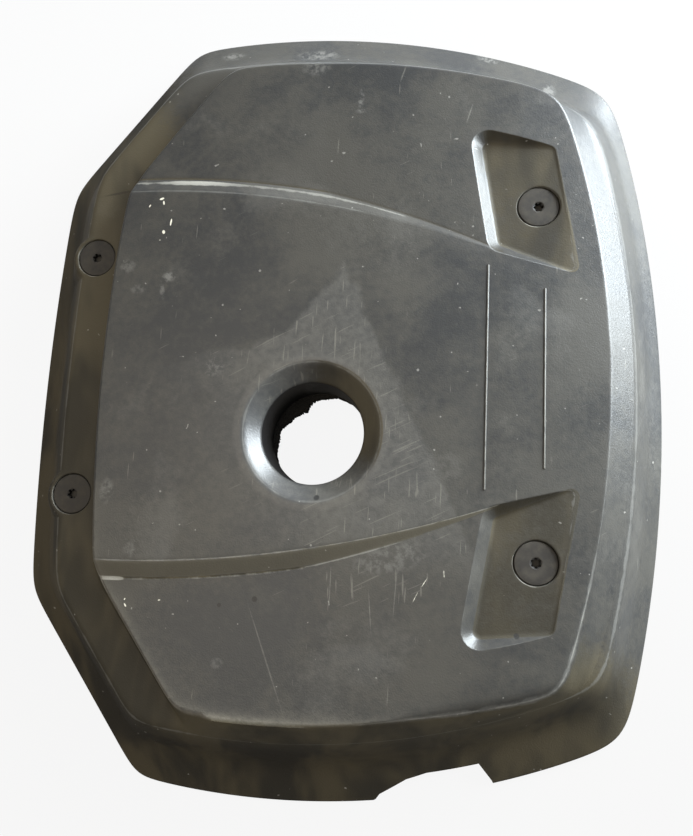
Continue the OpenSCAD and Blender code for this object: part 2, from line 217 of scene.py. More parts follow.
def meet(a, b, slope_a, slope_b, radius, outward, limit=None):
    """Height where slopes a and b meet in an arc, and a mask that is one at the corner."""
    angle_a, angle_b = np.arctan(slope_a), np.arctan(slope_b)
    turn_by = np.abs(angle_b - angle_a)
    half = radius * np.tan(turn_by / 2) * (np.cos(angle_a) + np.cos(angle_b)) / 2
    k = np.maximum(half * np.abs(slope_b - slope_a), 1e-4)
    if limit is not None:
        k = np.minimum(k, limit)
    near = np.maximum(0, 1 - np.abs(a - b) / k)
    if outward:
        return np.minimum(a, b) - k * near * near / 4, near
    return np.maximum(a, b) + k * near * near / 4, near


def wing_drop(x):
    """How far the wings lie below the middle panel."""
    return np.clip(PANEL_STEP * (BLEND_X - x) / BLEND_L, 0.02, PANEL_STEP)


def arc_y(x):
    """Half of the middle panel's width."""
    return np.sqrt(PANEL_ARC**2 - (x - PANEL_APEX_X) ** 2) + PANEL_HALF - PANEL_ARC


def crown(x, y):
    """Height of the crown with its middle panel, and masks of the panel's crest and foot."""
    high = COVER_H - x * x / (2 * CROWN_RX) - y * y / (2 * CROWN_RY)
    drop = wing_drop(x)
    slope = PANEL_STEP / PANEL_BEVEL
    side = high - slope * (np.abs(y) - arc_y(x))
    z, crest = meet(high, side, 0.0, slope, CREST_ROUND, True, 0.6 * drop)
    z, foot = meet(z, high - drop, slope, 0.0, PANEL_FOOT_ROUND, False, 0.3 * drop)
    share = drop / PANEL_STEP
    return z, crest * share, foot * share


def floor_height(x):
    """Height of the pocket floor."""
    run = POCKET_CORNERS[2][0] - POCKET_CORNERS[0][0]
    return POCKET_Z + POCKET_RISE * (x - POCKET_CORNERS[0][0]) / run


def outward_normals(corners):
    """Unit normals of the edges of an anticlockwise polygon, each edge from a corner to the next."""
    along = np.roll(corners, -1, axis=0) - corners
    return np.stack((along[:, 1], -along[:, 0]), 1) / np.linalg.norm(along, axis=1)[:, None]


def pocket_plan(side):
    """Corners of a pocket's floor, drawn in so that its rounding fits, anticlockwise."""
    corners = np.array([(x, side * y) for x, y in POCKET_CORNERS], float)[::-side]
    normals = outward_normals(corners)
    offsets = (normals * corners).sum(1) - POCKET_ROUND
    return np.array([np.linalg.solve(normals[[k - 1, k]], offsets[[k - 1, k]]) for k in range(4)])


def pocket_distance(p, side):
    """Distance outside the rounded floor of a pocket, negative inside it."""
    corners = pocket_plan(side)
    nearest, inside = np.full(len(p), 1e9), np.full(len(p), -1e9)
    for a, b, normal in zip(corners, np.roll(corners, -1, axis=0), outward_normals(corners)):
        along = b - a
        t = np.clip(((p - a) @ along) / (along @ along), 0, 1)
        nearest = np.minimum(nearest, np.linalg.norm(p - a - t[:, None] * along, axis=1))
        inside = np.maximum(inside, (p - a) @ normal)
    return np.where(inside > 0, nearest, inside) - POCKET_ROUND


# %% [markdown]
# ## The height of the moulding
# One function gives the height of the outer skin anywhere in plan. It walks from the lower edge
# inwards over the lip, the skirt, the ledge and the plateau wall up to the crown, then each feature
# adds itself: bosses, pockets, the funnel, ridges and screw seats. Because it is a formula, the mesh
# can be as fine as an edge needs, and the same formula also says where an edge is.

# %% Height


def opening_distance(p):
    """Distance from the middle of the filler opening."""
    return np.linalg.norm(p - OPENING, axis=1)


def ledge_height(x):
    """Height of the ledge on the line through the rear screws."""
    rim, foot = LEVELS["rim"], LEVELS["foot"]
    return rim[1] + (foot[1] - rim[1]) * (x + COVER_W / 2 - rim[0][0]) / (foot[0][0] - rim[0][0])


def screw_floor(name):
    """Height of the moulding round a screw."""
    x, _ = SCREW_PLACES[name]
    return floor_height(x) if name.startswith("front") else ledge_height(x)


def quarter_turn(d, radius):
    """How far a border sinks in a quarter circle within a radius of it, and a mask of the turn."""
    near = np.clip(1 - d / radius, 0, 1)
    return radius * (1 - np.sqrt(1 - near**2)), near


def body(p):
    """Lip, skirt, ledge, wall and crown: height, both masks, the skirt's slope and the way to the hem."""
    rho, u = polar(p)
    far = {name: reach(u, level[0]) for name, level in LEVELS.items()}
    edge = OPENING + u * far["edge"][:, None]
    z_at = {name: level[1] for name, level in LEVELS.items()}
    z_at["edge"] = crown(edge[:, 0], edge[:, 1])[0] - EDGE_DROP

    def rise(outer, inner):
        return (z_at[inner] - z_at[outer]) / np.maximum(far[outer] - far[inner], 0.5)

    def slope_line(outer, slope, slope_outside):
        into = far[outer] - rho
        return z_at[outer] + np.where(into > 0, slope, slope_outside) * into

    lip_slope, skirt_slope = rise("hem", "lip"), rise("lip", "rim")
    ledge_slope, wall_slope = rise("rim", "foot"), rise("foot", "edge")
    lip = slope_line("hem", lip_slope, lip_slope)
    skirt = slope_line("lip", skirt_slope, skirt_slope)
    ledge = slope_line("rim", ledge_slope, np.minimum(ledge_slope, 0.9 * lip_slope))
    wall = slope_line("foot", wall_slope, np.maximum(wall_slope, skirt_slope + 0.25))
    top, crest, foot = crown(p[:, 0], p[:, 1])
    crest, foot = crest * (rho < far["edge"]), foot * (rho < far["edge"])
    fall = (edge * u / (CROWN_RX, CROWN_RY)).sum(1)

    narrow = np.clip((NARROW_LEDGE - far["rim"] + far["foot"]) / NARROW_OVER, 0, 1)
    z, inward_a = meet(lip, skirt, lip_slope, skirt_slope, LIP_ROUND + 16 * narrow, False)
    z, outward_a = meet(z, ledge, skirt_slope, ledge_slope, RIM_ROUND + 12 * narrow, True)
    z, inward_b = meet(z, wall, ledge_slope, wall_slope, FOOT_ROUND + 8 * narrow, False)
    towards_worn = u @ np.array((math.cos(WORN_CORNER), math.sin(WORN_CORNER)))
    worn_round = np.clip((towards_worn - 0.90) / 0.08, 0, 1)
    z, outward_b = meet(z, top, wall_slope, fall, EDGE_ROUND + 16 * worn_round, True)
    outward = np.maximum.reduce((outward_a, outward_b, crest))
    inward = np.maximum.reduce((0.4 * inward_a, inward_b * (1 - narrow), foot))
    return z, outward, inward, skirt_slope, far["hem"] - rho


def add_bosses(p, z, outward, skirt_slope):
    """The round wells of the rear screws, which bulge over the skirt."""
    for name in ("rear_left", "rear_right"):
        d = np.linalg.norm(p - SCREW_PLACES[name], axis=1)
        flat = screw_floor(name)
        bulge = flat - BOSS_SLOPE * (d - BOSS_R)
        boss, rounded = meet(np.full(len(d), flat), bulge, 0.0, BOSS_SLOPE, BOSS_ROUND, True)
        z = meet(z, boss, skirt_slope, 0.8, BOSS_ROUND, False, 0.8)[0]
        outward = np.where(boss > z - 0.4, rounded, outward)
    return z, outward


def sink_pockets(p, z, outward, inward):
    """The two pockets round the front screws, with sloped walls and a fold at the floor."""
    for side in (-1, 1):
        d = pocket_distance(p, side)
        flat = floor_height(p[:, 0])
        hollow, fold = meet(flat, flat + d, 0.0, 1.0, POCKET_FOLD, False)
        z, rim = meet(z, hollow, 0.0, 1.0, POCKET_RIM, True)
        outward = np.maximum(np.where(d < 30, rim, 0), np.where(d < 5, 0, outward))
        inward = np.maximum(np.where(d < 4, fold, 0), np.where(d < 5, 0, inward))
    return z, outward, inward


def sink_funnel(p, z, outward):
    """The funnel of the filler opening, down to the turned mouth of its tube."""
    d = opening_distance(p)
    slope = FUNNEL_DEPTH / (FUNNEL_R - TUBE_R)
    z, rim = meet(z, COVER_H - slope * (FUNNEL_R - d), 0.0, slope, FUNNEL_ROUND, True)
    outward = np.maximum(outward, np.where(d < FUNNEL_R + 15, rim, 0))
    return z - quarter_turn(d - TUBE_R, TUBE_TURN)[0], outward


def raise_ridges(p, z, outward):
    """The two thin ridges across the front of the panel, half round with round ends."""
    for x, half in RIDGES:
        aside = np.hypot(p[:, 0] - x, np.maximum(0, np.abs(p[:, 1]) - half))
        z = z + RIDGE_H * np.sqrt(np.clip(1 - (aside / (0.62 * RIDGE_W)) ** 2, 0, 1))
        outward = np.maximum(outward, np.clip(1 - aside / RIDGE_W, 0, 1))
    return z, outward


def sink_seats(p, z, outward):
    """The round seats of the screw heads."""
    for name, place in SCREW_PLACES.items():
        d = np.linalg.norm(p - place, axis=1)
        sunk, rounded = quarter_turn(d - SEAT_R, SEAT_TURN)
        z = np.where(d < SEAT_R, screw_floor(name) - SEAT_DEPTH, z - sunk)
        outward = np.maximum(outward, rounded * (d >= SEAT_R))
    return z, outward


def height(p):
    """Outer height at the plan points p, and masks of outward and inward corners."""
    z, outward, inward, skirt_slope, to_hem = body(p)
    z, outward = add_bosses(p, z, outward, skirt_slope)
    z, outward, inward = sink_pockets(p, z, outward, inward)
    z, outward = sink_funnel(p, z, outward)
    z, outward = raise_ridges(p, z, outward)
    z, outward = sink_seats(p, z, outward)
    sunk, rounded = quarter_turn(to_hem, HEM_TURN)
    return z - 0.8 * sunk, np.maximum(outward, rounded), inward


probe = np.array([(0.0, 60.0), (132.0, 140.0), (-160.0, 0.0), (200.0, 0.0)])
print("heights at probes", np.round(height(probe)[0], 1))

# %% [markdown]
# ## Lines to build on
# A plain grid would cut across the moulded edges and leave them ragged. So points are laid along
# every edge, closer together where the height bends, and a Delaunay triangulation joins them. Its
# triangles then follow the rims, arcs and pockets, and the open fields stay coarse.

# %% Plan lines


class Plan:
    """Points and the edges between them, in plan, from which the skin is triangulated."""

    def __init__(self):
        self.points, self.edges, self.count = [], [], 0

    def line(self, points, closed=False):
        n = len(points)
        last = n if closed else n - 1
        self.points.append(points)
        self.edges += [(self.count + k, self.count + (k + 1) % n) for k in range(last)]
        self.count += n

    def scatter(self, points):
        self.points.append(points)
        self.count += len(points)

    def all(self):
        return np.concatenate(self.points)


def circle(centre, radius, count):
    """Points round a circle in plan."""
    a = (np.arange(count) + 0.5) * 2 * math.pi / count
    return np.asarray(centre) + radius * np.stack((np.cos(a), np.sin(a)), 1)


def near_ends(steps):
    """Shares from 0 to 1 that crowd together at both ends."""
    return (1 - np.cos(np.linspace(0, math.pi, steps + 1))) / 2


def pocket_offset(side, offset, count_per_corner=7, count_per_edge=22):
    """A pocket's rounded outline grown by an offset from its floor's edge."""
    corners = pocket_plan(side)
    normals = outward_normals(corners)
    turns = np.arctan2(normals[:, 1], normals[:, 0])
    radius = POCKET_ROUND + offset
    points = []
    for k in range(4):
        corner, onward = corners[k], corners[(k + 1) % 4] - corners[k]
        end = turns[k] + (2 * math.pi if turns[k] < turns[k - 1] else 0)
        bend = np.linspace(turns[k - 1], end, count_per_corner)
        points += list(corner + radius * np.stack((np.cos(bend), np.sin(bend)), 1))
        for t in np.linspace(0, 1, count_per_edge + 1)[1:-1]:
            points.append(corner + radius * normals[k] + onward * t)
    return np.array(points)


def pocket_rim(side, lift):
    """The line where a pocket's wall comes out of the skin, shifted along the wall by lift."""
    low, high = pocket_offset(side, 0.0), pocket_offset(side, 20.0)
    a, b = np.zeros(len(low)), np.ones(len(low))
    for _ in range(14):
        t = (a + b) / 2
        p = low + (high - low) * t[:, None]
        above = floor_height(p[:, 0]) + 20 * t > plain_height(p) + lift
        a, b = np.where(above, a, t), np.where(above, t, b)
    return low + (high - low) * ((a + b) / 2)[:, None]


def plain_height(p):
    """Rough height of the skin without pockets, used to find where they come out."""
    rho, u = polar(p)
    foot, edge = (reach(u, LEVELS[k][0]) for k in ("foot", "edge"))
    top = crown(p[:, 0], p[:, 1])[0]
    share = (foot - rho) / np.maximum(foot - edge, 0.5)
    wall = LEVELS["foot"][1] + share * (top - EDGE_DROP - LEVELS["foot"][1])
    return np.minimum(top, wall)


print("pocket outlines", [len(pocket_offset(side, 0.0)) for side in (-1, 1)], "points")

# %% [markdown]
# ## Laying the points
# Each edge of the moulding gets several lines, from just outside it to just inside it. How far
# apart they lie follows how fast the height bends there. Loose rows fill whatever is still open,
# so that no triangle grows long and thin.

# %% Plan points
RING_COUNT = 540
BAND_STEPS = (7, 9, 8, 8)
PLATEAU_RINGS, PLATEAU_SPREAD = (0.3, 0.7, 1.1, 1.6, 2.2, 3, 4.5, 7), np.array((1, 1, 1.1, 1.3))
HEM_RINGS = (0.05, 0.15, 0.4, 0.8, 1.2)
FOLD_LINES = (-2.2, -1.2, -0.4, 0.4, 1.2, 2.2)
RIM_LIFTS = (-1.2, -0.6, -0.3, -0.1, 0.1, 0.3, 0.6, 1.2)
FUNNEL_RINGS = (0, 0.04, 0.15, 0.35, 0.65, 1, 1.5, 3, 5.5, 8, 9.5, 10.7, 11.7, 12.7, 14, 15.5, 18)
SEAT_RINGS = (-0.03, 0, 0.05, 0.15, 0.35, 0.6, 0.9, 2)
BOSS_RINGS = (17.8, 19.5, 22, 24.5, 27, 30, 34)
RIDGE_LINES, RIDGE_ENDS = (-0.744, -0.7, -0.55, -0.3, 0, 0.3, 0.55, 0.7, 0.744), (0.35, 0.6, 0.744)
GRID_X, GRID_Y, GRID_CELL = 5.2, 4.5, 3.2


def outline_rings(plan):
    """Rings round the outline, close together at the hem and at the plateau's edge."""
    levels = [np.array(level[0], float) for level in LEVELS.values()]
    insets = [np.full(4, w) for w in HEM_RINGS] + [levels[-1]]
    for a, b, count in zip(levels, levels[1:], BAND_STEPS):
        insets += [a + (b - a) * t for t in near_ends(count)[:-1]]
    insets += [levels[-1] + w * PLATEAU_SPREAD for w in PLATEAU_RINGS]
    for inset in sorted(insets, key=lambda i: float(i.sum())):
        plan.line(ring(tuple(inset), RING_COUNT), closed=True)


def panel_lines(plan, side):
    """Lines along the crest and the foot of one side of the raised panel."""
    x = np.linspace(-170, BLEND_X + 4, 130)
    for middle, spread in ((0, 2.6), (PANEL_BEVEL, 3.4)):
        for t in np.linspace(-1, 1, 7):
            y = arc_y(x) + (middle + spread * t) * np.minimum(1, wing_drop(x) / PANEL_STEP + 0.05)
            plan.line(np.stack((x, side * y), 1))


def open_grid(laid):
    """Loose points in rows, wherever no point is laid nearby."""
    rows = enumerate(np.arange(-280, 280, GRID_Y))
    grid = np.array([(x + (j % 2) * GRID_X / 2, y) for j, y in rows for x in np.arange(-222, 222, GRID_X)])
    taken = {tuple(c) for c in np.floor(laid / GRID_CELL).astype(int)}
    near = [(i, j) for i in (-1, 0, 1) for j in (-1, 0, 1)]
    cells = np.floor(grid / GRID_CELL).astype(int)
    return grid[[all((c[0] + i, c[1] + j) not in taken for i, j in near) for c in cells]]


def lay_points():
    """All points and edges of the plan of the outer skin."""
    plan = Plan()
    outline_rings(plan)
    for side in (-1, 1):
        panel_lines(plan, side)
        for offset in FOLD_LINES:
            plan.line(pocket_offset(side, offset), closed=True)
        for lift in RIM_LIFTS:
            plan.line(pocket_rim(side, lift), closed=True)
    for w in FUNNEL_RINGS:
        plan.line(circle(OPENING, TUBE_R + w, 132), closed=True)
    for name, place in SCREW_PLACES.items():
        rings = [SEAT_HOLE_R, 11.5] + [SEAT_R + w for w in SEAT_RINGS]
        rings += BOSS_RINGS if name.startswith("rear") else ()
        for r in rings:
            plan.line(circle(place, r, 64), closed=True)
    for x, half in RIDGES:
        for aside in RIDGE_LINES:
            plan.line(np.array([(x + aside, y) for y in np.linspace(-half, half, 40)]))
        for end in (-1, 1):
            for r in RIDGE_ENDS:
                plan.scatter(circle((x, end * half), r, 12))
    plan.scatter(open_grid(plan.all()))
    return plan


plan = lay_points()
print("plan points", plan.count)

# %% [markdown]
# ## From plan to solid
# The triangles are lifted to the height of the skin, a flat copy closes the bottom, and a wall is
# drawn along every open border. The result is a closed solid, which is what a boolean needs.

# %% Solid over a plan


def inside_plan(p):
    """True for plan points that lie on the moulding, and not in one of its five holes."""
    rho, u = polar(p)
    inside = (rho < reach(u, (0, 0, 0, 0))) & (rho > TUBE_R)
    for place in SCREW_PLACES.values():
        inside &= np.linalg.norm(p - place, axis=1) > SEAT_HOLE_R
    return inside


def mesh_object(name, points, faces):
    """A mesh object from points in millimetres and lists of corners."""
    mesh = bpy.data.meshes.new(name)
    mesh.from_pydata([tuple(p) for p in np.asarray(points) * MM], [], faces)
    mesh.update()
    obj = bpy.data.objects.new(name, mesh)
    bpy.context.scene.collection.objects.link(obj)
    return obj


def triangulated(plan, keep):
    """Plan points and the triangles over them whose middles are to be kept."""
    found = delaunay_2d_cdt([Vector(p) for p in plan.all()], plan.edges, [], 0, 1e-3)
    p = np.array([tuple(v) for v in found[0]])
    triangles = np.array([f for f in found[2] if len(f) == 3])
    a, b, c = (p[triangles[:, k]] for k in range(3))
    doubled = (b - a)[:, 0] * (c - a)[:, 1] - (b - a)[:, 1] * (c - a)[:, 0]
    triangles = triangles[keep((a + b + c) / 3) & (np.abs(doubled) > 1e-9)]
    used, triangles = np.unique(triangles, return_inverse=True)
    return p[used], triangles.reshape(-1, 3)


def slab(name, p, triangles, top, bottom):
    """A closed solid between two heights, over the triangles of a plan."""
    n = len(p)
    points = np.concatenate((np.column_stack((p, top)), np.column_stack((p, bottom))))
    faces = [tuple(t) for t in triangles] + [tuple(t[::-1] + n) for t in triangles]
    directed = {(int(t[k]), int(t[(k + 1) % 3])) for t in triangles for k in range(3)}
    faces += [(j, i, i + n, j + n) for i, j in directed if (j, i) not in directed]
    return mesh_object(name, points, faces)


def outer_solid(plan):
    """The closed outer form of the cover, down to the plane of its lower edge."""
    p, triangles = triangulated(plan, inside_plan)
    return slab("cover_outer", p, triangles, height(p)[0], np.zeros(len(p)))


outer = outer_solid(plan)
print("outer solid", len(outer.data.polygons), "faces,", round(time.time() - started, 1), "s")

# %% [markdown]
# ## The hollow underneath
# The moulding is a shell of even thickness. Its hollow is a second, plainer solid: the same
# outlines drawn in by the wall. Everything that stands up under the crown is cut out of the hollow
# before the hollow is cut out of the cover, which leaves ribs, pins and cups behind.

# %% Hollow
# Each level of the hollow: shares of the wall that it lies aside of the skin's level and below it.
HOLLOW_SHARES = {
    "hem": (1.0, 0.7), "lip": (0.68, 0.8), "rim": (0.56, 0.97), "foot": ((0.8, 0.8, 0.56, 0.56), 0.97),
}
HOLLOW_EDGE_IN = 1.5 * np.array((1, 1, 1.2, 1.6))


def loft(name, rings, peak):
    """Closed solid through rings of equal size, flat below and pointed above."""
    n, m = len(rings[0]), len(rings)
    points = np.concatenate([*rings, [peak]])
    faces = [tuple(range(n))[::-1]]
    for i in range(m - 1):
        for j in range(n):
            a, b = i * n + j, i * n + (j + 1) % n
            faces += [(a, b, b + n), (a, b + n, a + n)]
    faces += [((m - 1) * n + j, (m - 1) * n + (j + 1) % n, n * m) for j in range(n)]
    return mesh_object(name, points, faces)


def level_ring(inset, z, count):
    """A ring of the loft at one height."""
    return np.column_stack((ring(tuple(inset), count), np.full(count, z)))


def hollow_solid(count=216):
    """The hollow under the skin, before anything that stands in it is cut out."""
    w = WALL
    rings = [level_ring(np.full(4, w), -w, count)]
    for name, (aside, sunk) in HOLLOW_SHARES.items():
        inset, z = LEVELS[name]
        rings.append(level_ring(np.array(inset, float) + w * np.array(aside), z - sunk * w, count))
    edge = np.array(LEVELS["edge"][0]) + w * np.array((0.9, 0.9, 0.8, 0.8)) + HOLLOW_EDGE_IN
    flat = ring(tuple(edge), count)
    for share in (1.0, 0.985, 0.96, *np.arange(0.92, 0.05, -0.04)):
        p = OPENING + (flat - OPENING) * share
        sunk = w + (1.2 if share == 1.0 else 0.0)
        rings.append(np.column_stack((p, crown(p[:, 0], p[:, 1])[0] - sunk)))
    return loft("hollow", rings, (*OPENING, COVER_H - w))


def turned(name, profile, place=(0, 0, 0), count=64, ring_shape=False):
    """A solid turned about the vertical from a profile of radius and height, capped or as a ring."""
    a = np.arange(count) * 2 * math.pi / count
    circles = [np.stack((r * np.cos(a), r * np.sin(a), np.full(count, z)), 1) for r, z in profile]
    n = len(profile)
    faces = []
    for i in range(n if ring_shape else n - 1):
        low, high = i * count, (i + 1) % n * count
        faces += [(low + j, low + (j + 1) % count, high + (j + 1) % count, high + j) for j in range(count)]
    if not ring_shape:
        faces += [tuple(range(count))[::-1], tuple(range((n - 1) * count, n * count))]
    return mesh_object(name, np.concatenate(circles) + np.asarray(place, float), faces)


def pocket_block(side):
    """The block that a pocket's underside leaves in the hollow."""
    g, depth = 0.41 * WALL, 16.0
    low, high = pocket_offset(side, g, 5, 3), pocket_offset(side, g + depth, 5, 3)
    base = floor_height(low[:, 0]) - WALL
    n = len(low)
    points = np.concatenate((np.column_stack((low, base)), np.column_stack((high, base + depth))))
    faces = [tuple(range(n))[::-1], tuple(range(n, 2 * n))]
    faces += [(j, (j + 1) % n, (j + 1) % n + n, j + n) for j in range(n)]
    return mesh_object("pocket_block", points, faces)


def boolean(target, other, operation="DIFFERENCE", solver="MANIFOLD"):
    """Cuts other out of target, joins it on or keeps what they share, and removes other."""
    modifier = target.modifiers.new("cut", "BOOLEAN")
    modifier.operation = operation
    modifier.solver = solver
    modifier.object = other
    plain(target)
    bpy.data.objects.remove(other)
    return target


def plain(obj):
    """Turns an object with its modifiers into a plain mesh."""
    bpy.context.view_layer.update()
    evaluated = obj.evaluated_get(bpy.context.evaluated_depsgraph_get())
    mesh = bpy.data.meshes.new_from_object(evaluated)
    obj.modifiers.clear()
    obj.data = mesh
    return obj


hollow = hollow_solid()
for side in (-1, 1):
    boolean(hollow, pocket_block(side))
print("hollow", len(hollow.data.polygons), "faces")

# %% [markdown]
# ## Wiring nodes
# Node trees for shapes and for materials are built the same way: make a node, set its plain values
# and link the rest. This short helper does that. An underscore in a name stands for a space in a
# socket's name, and _0 or _1 for a socket that is told by its number. Short words for the commonest
# nodes keep the formulas readable.

# %% Wiring


class Wiring:
    """Makes and links nodes in one tree."""

    def __init__(self, tree):
        self.tree = tree

    def node(self, kind, settings=None, **inputs):
        node = self.tree.nodes.new(kind)
        for name, value in (settings or {}).items():
            setattr(node, name, value)
        for name, value in inputs.items():
            key = int(name[1:]) if name[0] == "_" and name[1:].isdigit() else name.replace("_", " ")
            self.feed(node.inputs[key], value)
        return node

    def feed(self, socket, value):
        if isinstance(value, bpy.types.NodeSocket):
            self.tree.links.new(value, socket)
        else:
            socket.default_value = value

    def math(self, operation, a, b=0.0, clamp=False):
        settings = {"operation": operation, "use_clamp": clamp}
        return self.node("ShaderNodeMath", settings, _0=a, _1=b).outputs[0]

    def times(self, a, b):
        return self.math("MULTIPLY", a, b)

    def plus(self, a, b):
        return self.math("ADD", a, b)

    def minus(self, a, b):
        return self.math("SUBTRACT", a, b)

    def most(self, a, b):
        return self.math("MAXIMUM", a, b)

    def least(self, a, b):
        return self.math("MINIMUM", a, b)

    def dot(self, vector, constant):
        settings = {"operation": "DOT_PRODUCT"}
        return self.node("ShaderNodeVectorMath", settings, _0=vector, _1=constant).outputs["Value"]

    def span(self, value, low, high, to_low=0.0, to_high=1.0):
        node = self.node(
            "ShaderNodeMapRange", {"interpolation_type": "SMOOTHSTEP"},
            Value=value, From_Min=low, From_Max=high, To_Min=to_low, To_Max=to_high,
        )
        return node.outputs["Result"]

    def noise(self, vector, scale, detail=4.0, roughness=0.55, distortion=0.0):
        node = self.node(
            "ShaderNodeTexNoise",
            Vector=vector, Scale=scale, Detail=detail, Roughness=roughness, Distortion=distortion,
        )
        return node.outputs["Fac"]

    def mapped(self, vector, location=(0, 0, 0), rotation=(0, 0, 0), scale=(1, 1, 1)):
        settings = dict(Location=location, Rotation=rotation, Scale=scale)
        return self.node("ShaderNodeMapping", Vector=vector, **settings).outputs[0]

    def bump(self, height, strength, distance):
        return self.node("ShaderNodeBump", Strength=strength, Distance=distance, Height=height).outputs[0]

    def blend(self, factor, a, b):
        node = self.node("ShaderNodeMix", {"data_type": "RGBA"})
        for index, value in ((0, factor), (6, a), (7, b)):
            self.feed(node.inputs[index], value)
        return node.outputs[2]


print("node wiring", [word for word in dir(Wiring) if word[0] != "_"])

# %% [markdown]
# ## Ribs and pins with Geometry Nodes
# Ribs and pins repeat, so a node tree makes them. Cubes are set on the points of a line for the
# ribs and cylinders on a handful of points for the pins. Named inputs hold their sizes.

# %% Ribs and pins
RIB_T, RIB_Z, RIB_GAP_R = 1.8, 44.0, 21.0
PIN_R, TIP_R, TIP_L = 4.5, 2.5, 3.0
RIB_X, RIB_Y = (-85.0, 60.0), (-112.0, 0.0, 112.0)
PIN_Y, PIN_X = 165.0, (-125.0, 140.0)
PIN_PLACES = [(x, side * PIN_Y) for x in RIB_X for side in (-1, 1)] + [(x, 0.0) for x in PIN_X]
PAD_Z, PAD_T = 12.0, 8.0
PAD_TOP = PAD_Z + PAD_T


def socket_id(tree, name):
    """The identifier of a tree's input socket, which a modifier's setting is keyed by."""
    for item in tree.interface.items_tree:
        if item.item_type == "SOCKET" and item.in_out == "INPUT" and item.name == name:
            return item.identifier
    raise KeyError(name)


def new_tree(name, **inputs):
    """A geometry tree with named float inputs: its wiring, and what it is given and gives back."""
    tree = bpy.data.node_groups.new(name, "GeometryNodeTree")
    tree.interface.new_socket("Points", in_out="INPUT", socket_type="NodeSocketGeometry")
    for label, value in inputs.items():
        socket = tree.interface.new_socket(label, in_out="INPUT", socket_type="NodeSocketFloat")
        socket.default_value = value
    tree.interface.new_socket("Mesh", in_out="OUTPUT", socket_type="NodeSocketGeometry")
    return Wiring(tree), tree.nodes.new("NodeGroupInput").outputs, tree.nodes.new("NodeGroupOutput").inputs


def made_real(w, result, geometry):
    """Ends a tree: real geometry instead of instances, with a material slot."""
    real = w.node("GeometryNodeRealizeInstances", _0=geometry).outputs[0]
    w.feed(result["Mesh"], w.node("GeometryNodeSetMaterial", Geometry=real).outputs[0])
    return w.tree


def points_object(name, places):
    """An object of loose points, in millimetres, for a tree to set things on."""
    mesh = bpy.data.meshes.new(name)
    mesh.from_pydata([tuple(c * MM for c in p) for p in places], [], [])
    obj = bpy.data.objects.new(name, mesh)
    bpy.context.scene.collection.objects.link(obj)
    return obj


def grown(obj, tree, **settings):
    """Runs a tree on an object, with its inputs set by name, and keeps the plain mesh."""
    modifier = obj.modifiers.new(tree.name, "NODES")
    modifier.node_group = tree
    for label, value in settings.items():
        modifier[socket_id(tree, label)] = value
    return plain(obj)


def set_on_points_tree(name, kind):
    """A tree that sets a cube or a cylinder, with its base on the point, on every point."""
    w, given, result = new_tree(name, Length=0.01, Width=0.01, Height=0.01)
    if kind == "cube":
        size = w.node("ShaderNodeCombineXYZ", X=given["Length"], Y=given["Width"], Z=given["Height"])
        shape = w.node("GeometryNodeMeshCube", Size=size.outputs[0])
    else:
        shape = w.node("GeometryNodeMeshCylinder", Vertices=32, Radius=given["Width"], Depth=given["Height"])
    up = w.node("ShaderNodeCombineXYZ", Z=w.times(given["Height"], 0.5)).outputs[0]
    lift = w.node("GeometryNodeTransform", Geometry=shape.outputs["Mesh"], Translation=up)
    spread = w.node("GeometryNodeInstanceOnPoints", Points=given["Points"], Instance=lift.outputs[0])
    return made_real(w, result, spread.outputs[0])


boxes = set_on_points_tree("ribs", "cube")
posts = set_on_points_tree("posts", "cylinder")
across = grown(
    points_object("ribs_across", [(x, 0, RIB_Z) for x in RIB_X]),
    boxes, Length=RIB_T * MM, Width=COVER_L * MM, Height=COVER_H * MM,
)
along = grown(
    points_object("ribs_along", [(0, y, RIB_Z) for y in RIB_Y]),
    boxes, Length=COVER_W * MM, Width=RIB_T * MM, Height=COVER_H * MM,
)
clear = grown(
    points_object("rib_clearance", [(x, y, 0) for x, y in SCREW_PLACES.values()]),
    posts, Width=RIB_GAP_R * MM, Height=COVER_H * MM,
)
ribs = boolean(along, across, "UNION", "EXACT")
boolean(ribs, clear)
boolean(hollow, ribs)
pins = grown(
    points_object("pin_bases", [(x, y, PAD_TOP) for x, y in PIN_PLACES]),
    posts, Width=PIN_R * MM, Height=COVER_H * MM,
)
boolean(hollow, pins)
tips = grown(
    points_object("pin_tips", [(x, y, PAD_Z - TIP_L) for x, y in PIN_PLACES]),
    posts, Width=TIP_R * MM, Height=COVER_H * MM,
)
boolean(hollow, tips)
for name, (x, y) in SCREW_PLACES.items():
    base = screw_floor(name) - SEAT_DEPTH - WALL
    boolean(hollow, turned("cup", [(BOSS_R, base), (BOSS_R, 120)], (x, y, 0)))
tube_profile = [
    (TUBE_R + WALL, PAD_TOP),
    (TUBE_R + WALL, COVER_H - FUNNEL_DEPTH - 1.0),
    (FUNNEL_R + 3.0, COVER_H - 1.0),
    (FUNNEL_R + 3.0, 120),
]
boolean(hollow, turned("tube", tube_profile, (*OPENING, 0), 128))
print("hollow with ribs", len(hollow.data.polygons), "faces,", round(time.time() - started, 1), "s")

# %% [markdown]
# ## Cutting the shell
# The hollow is cut out of the outer solid, and a prism cuts the gap in the lower edge. A quick
# count shows that the result is closed: every edge has two faces, and the volume is that of a wall.

# %% Cut the shell
NOTCH = (30.0, 116.0, 9.7)


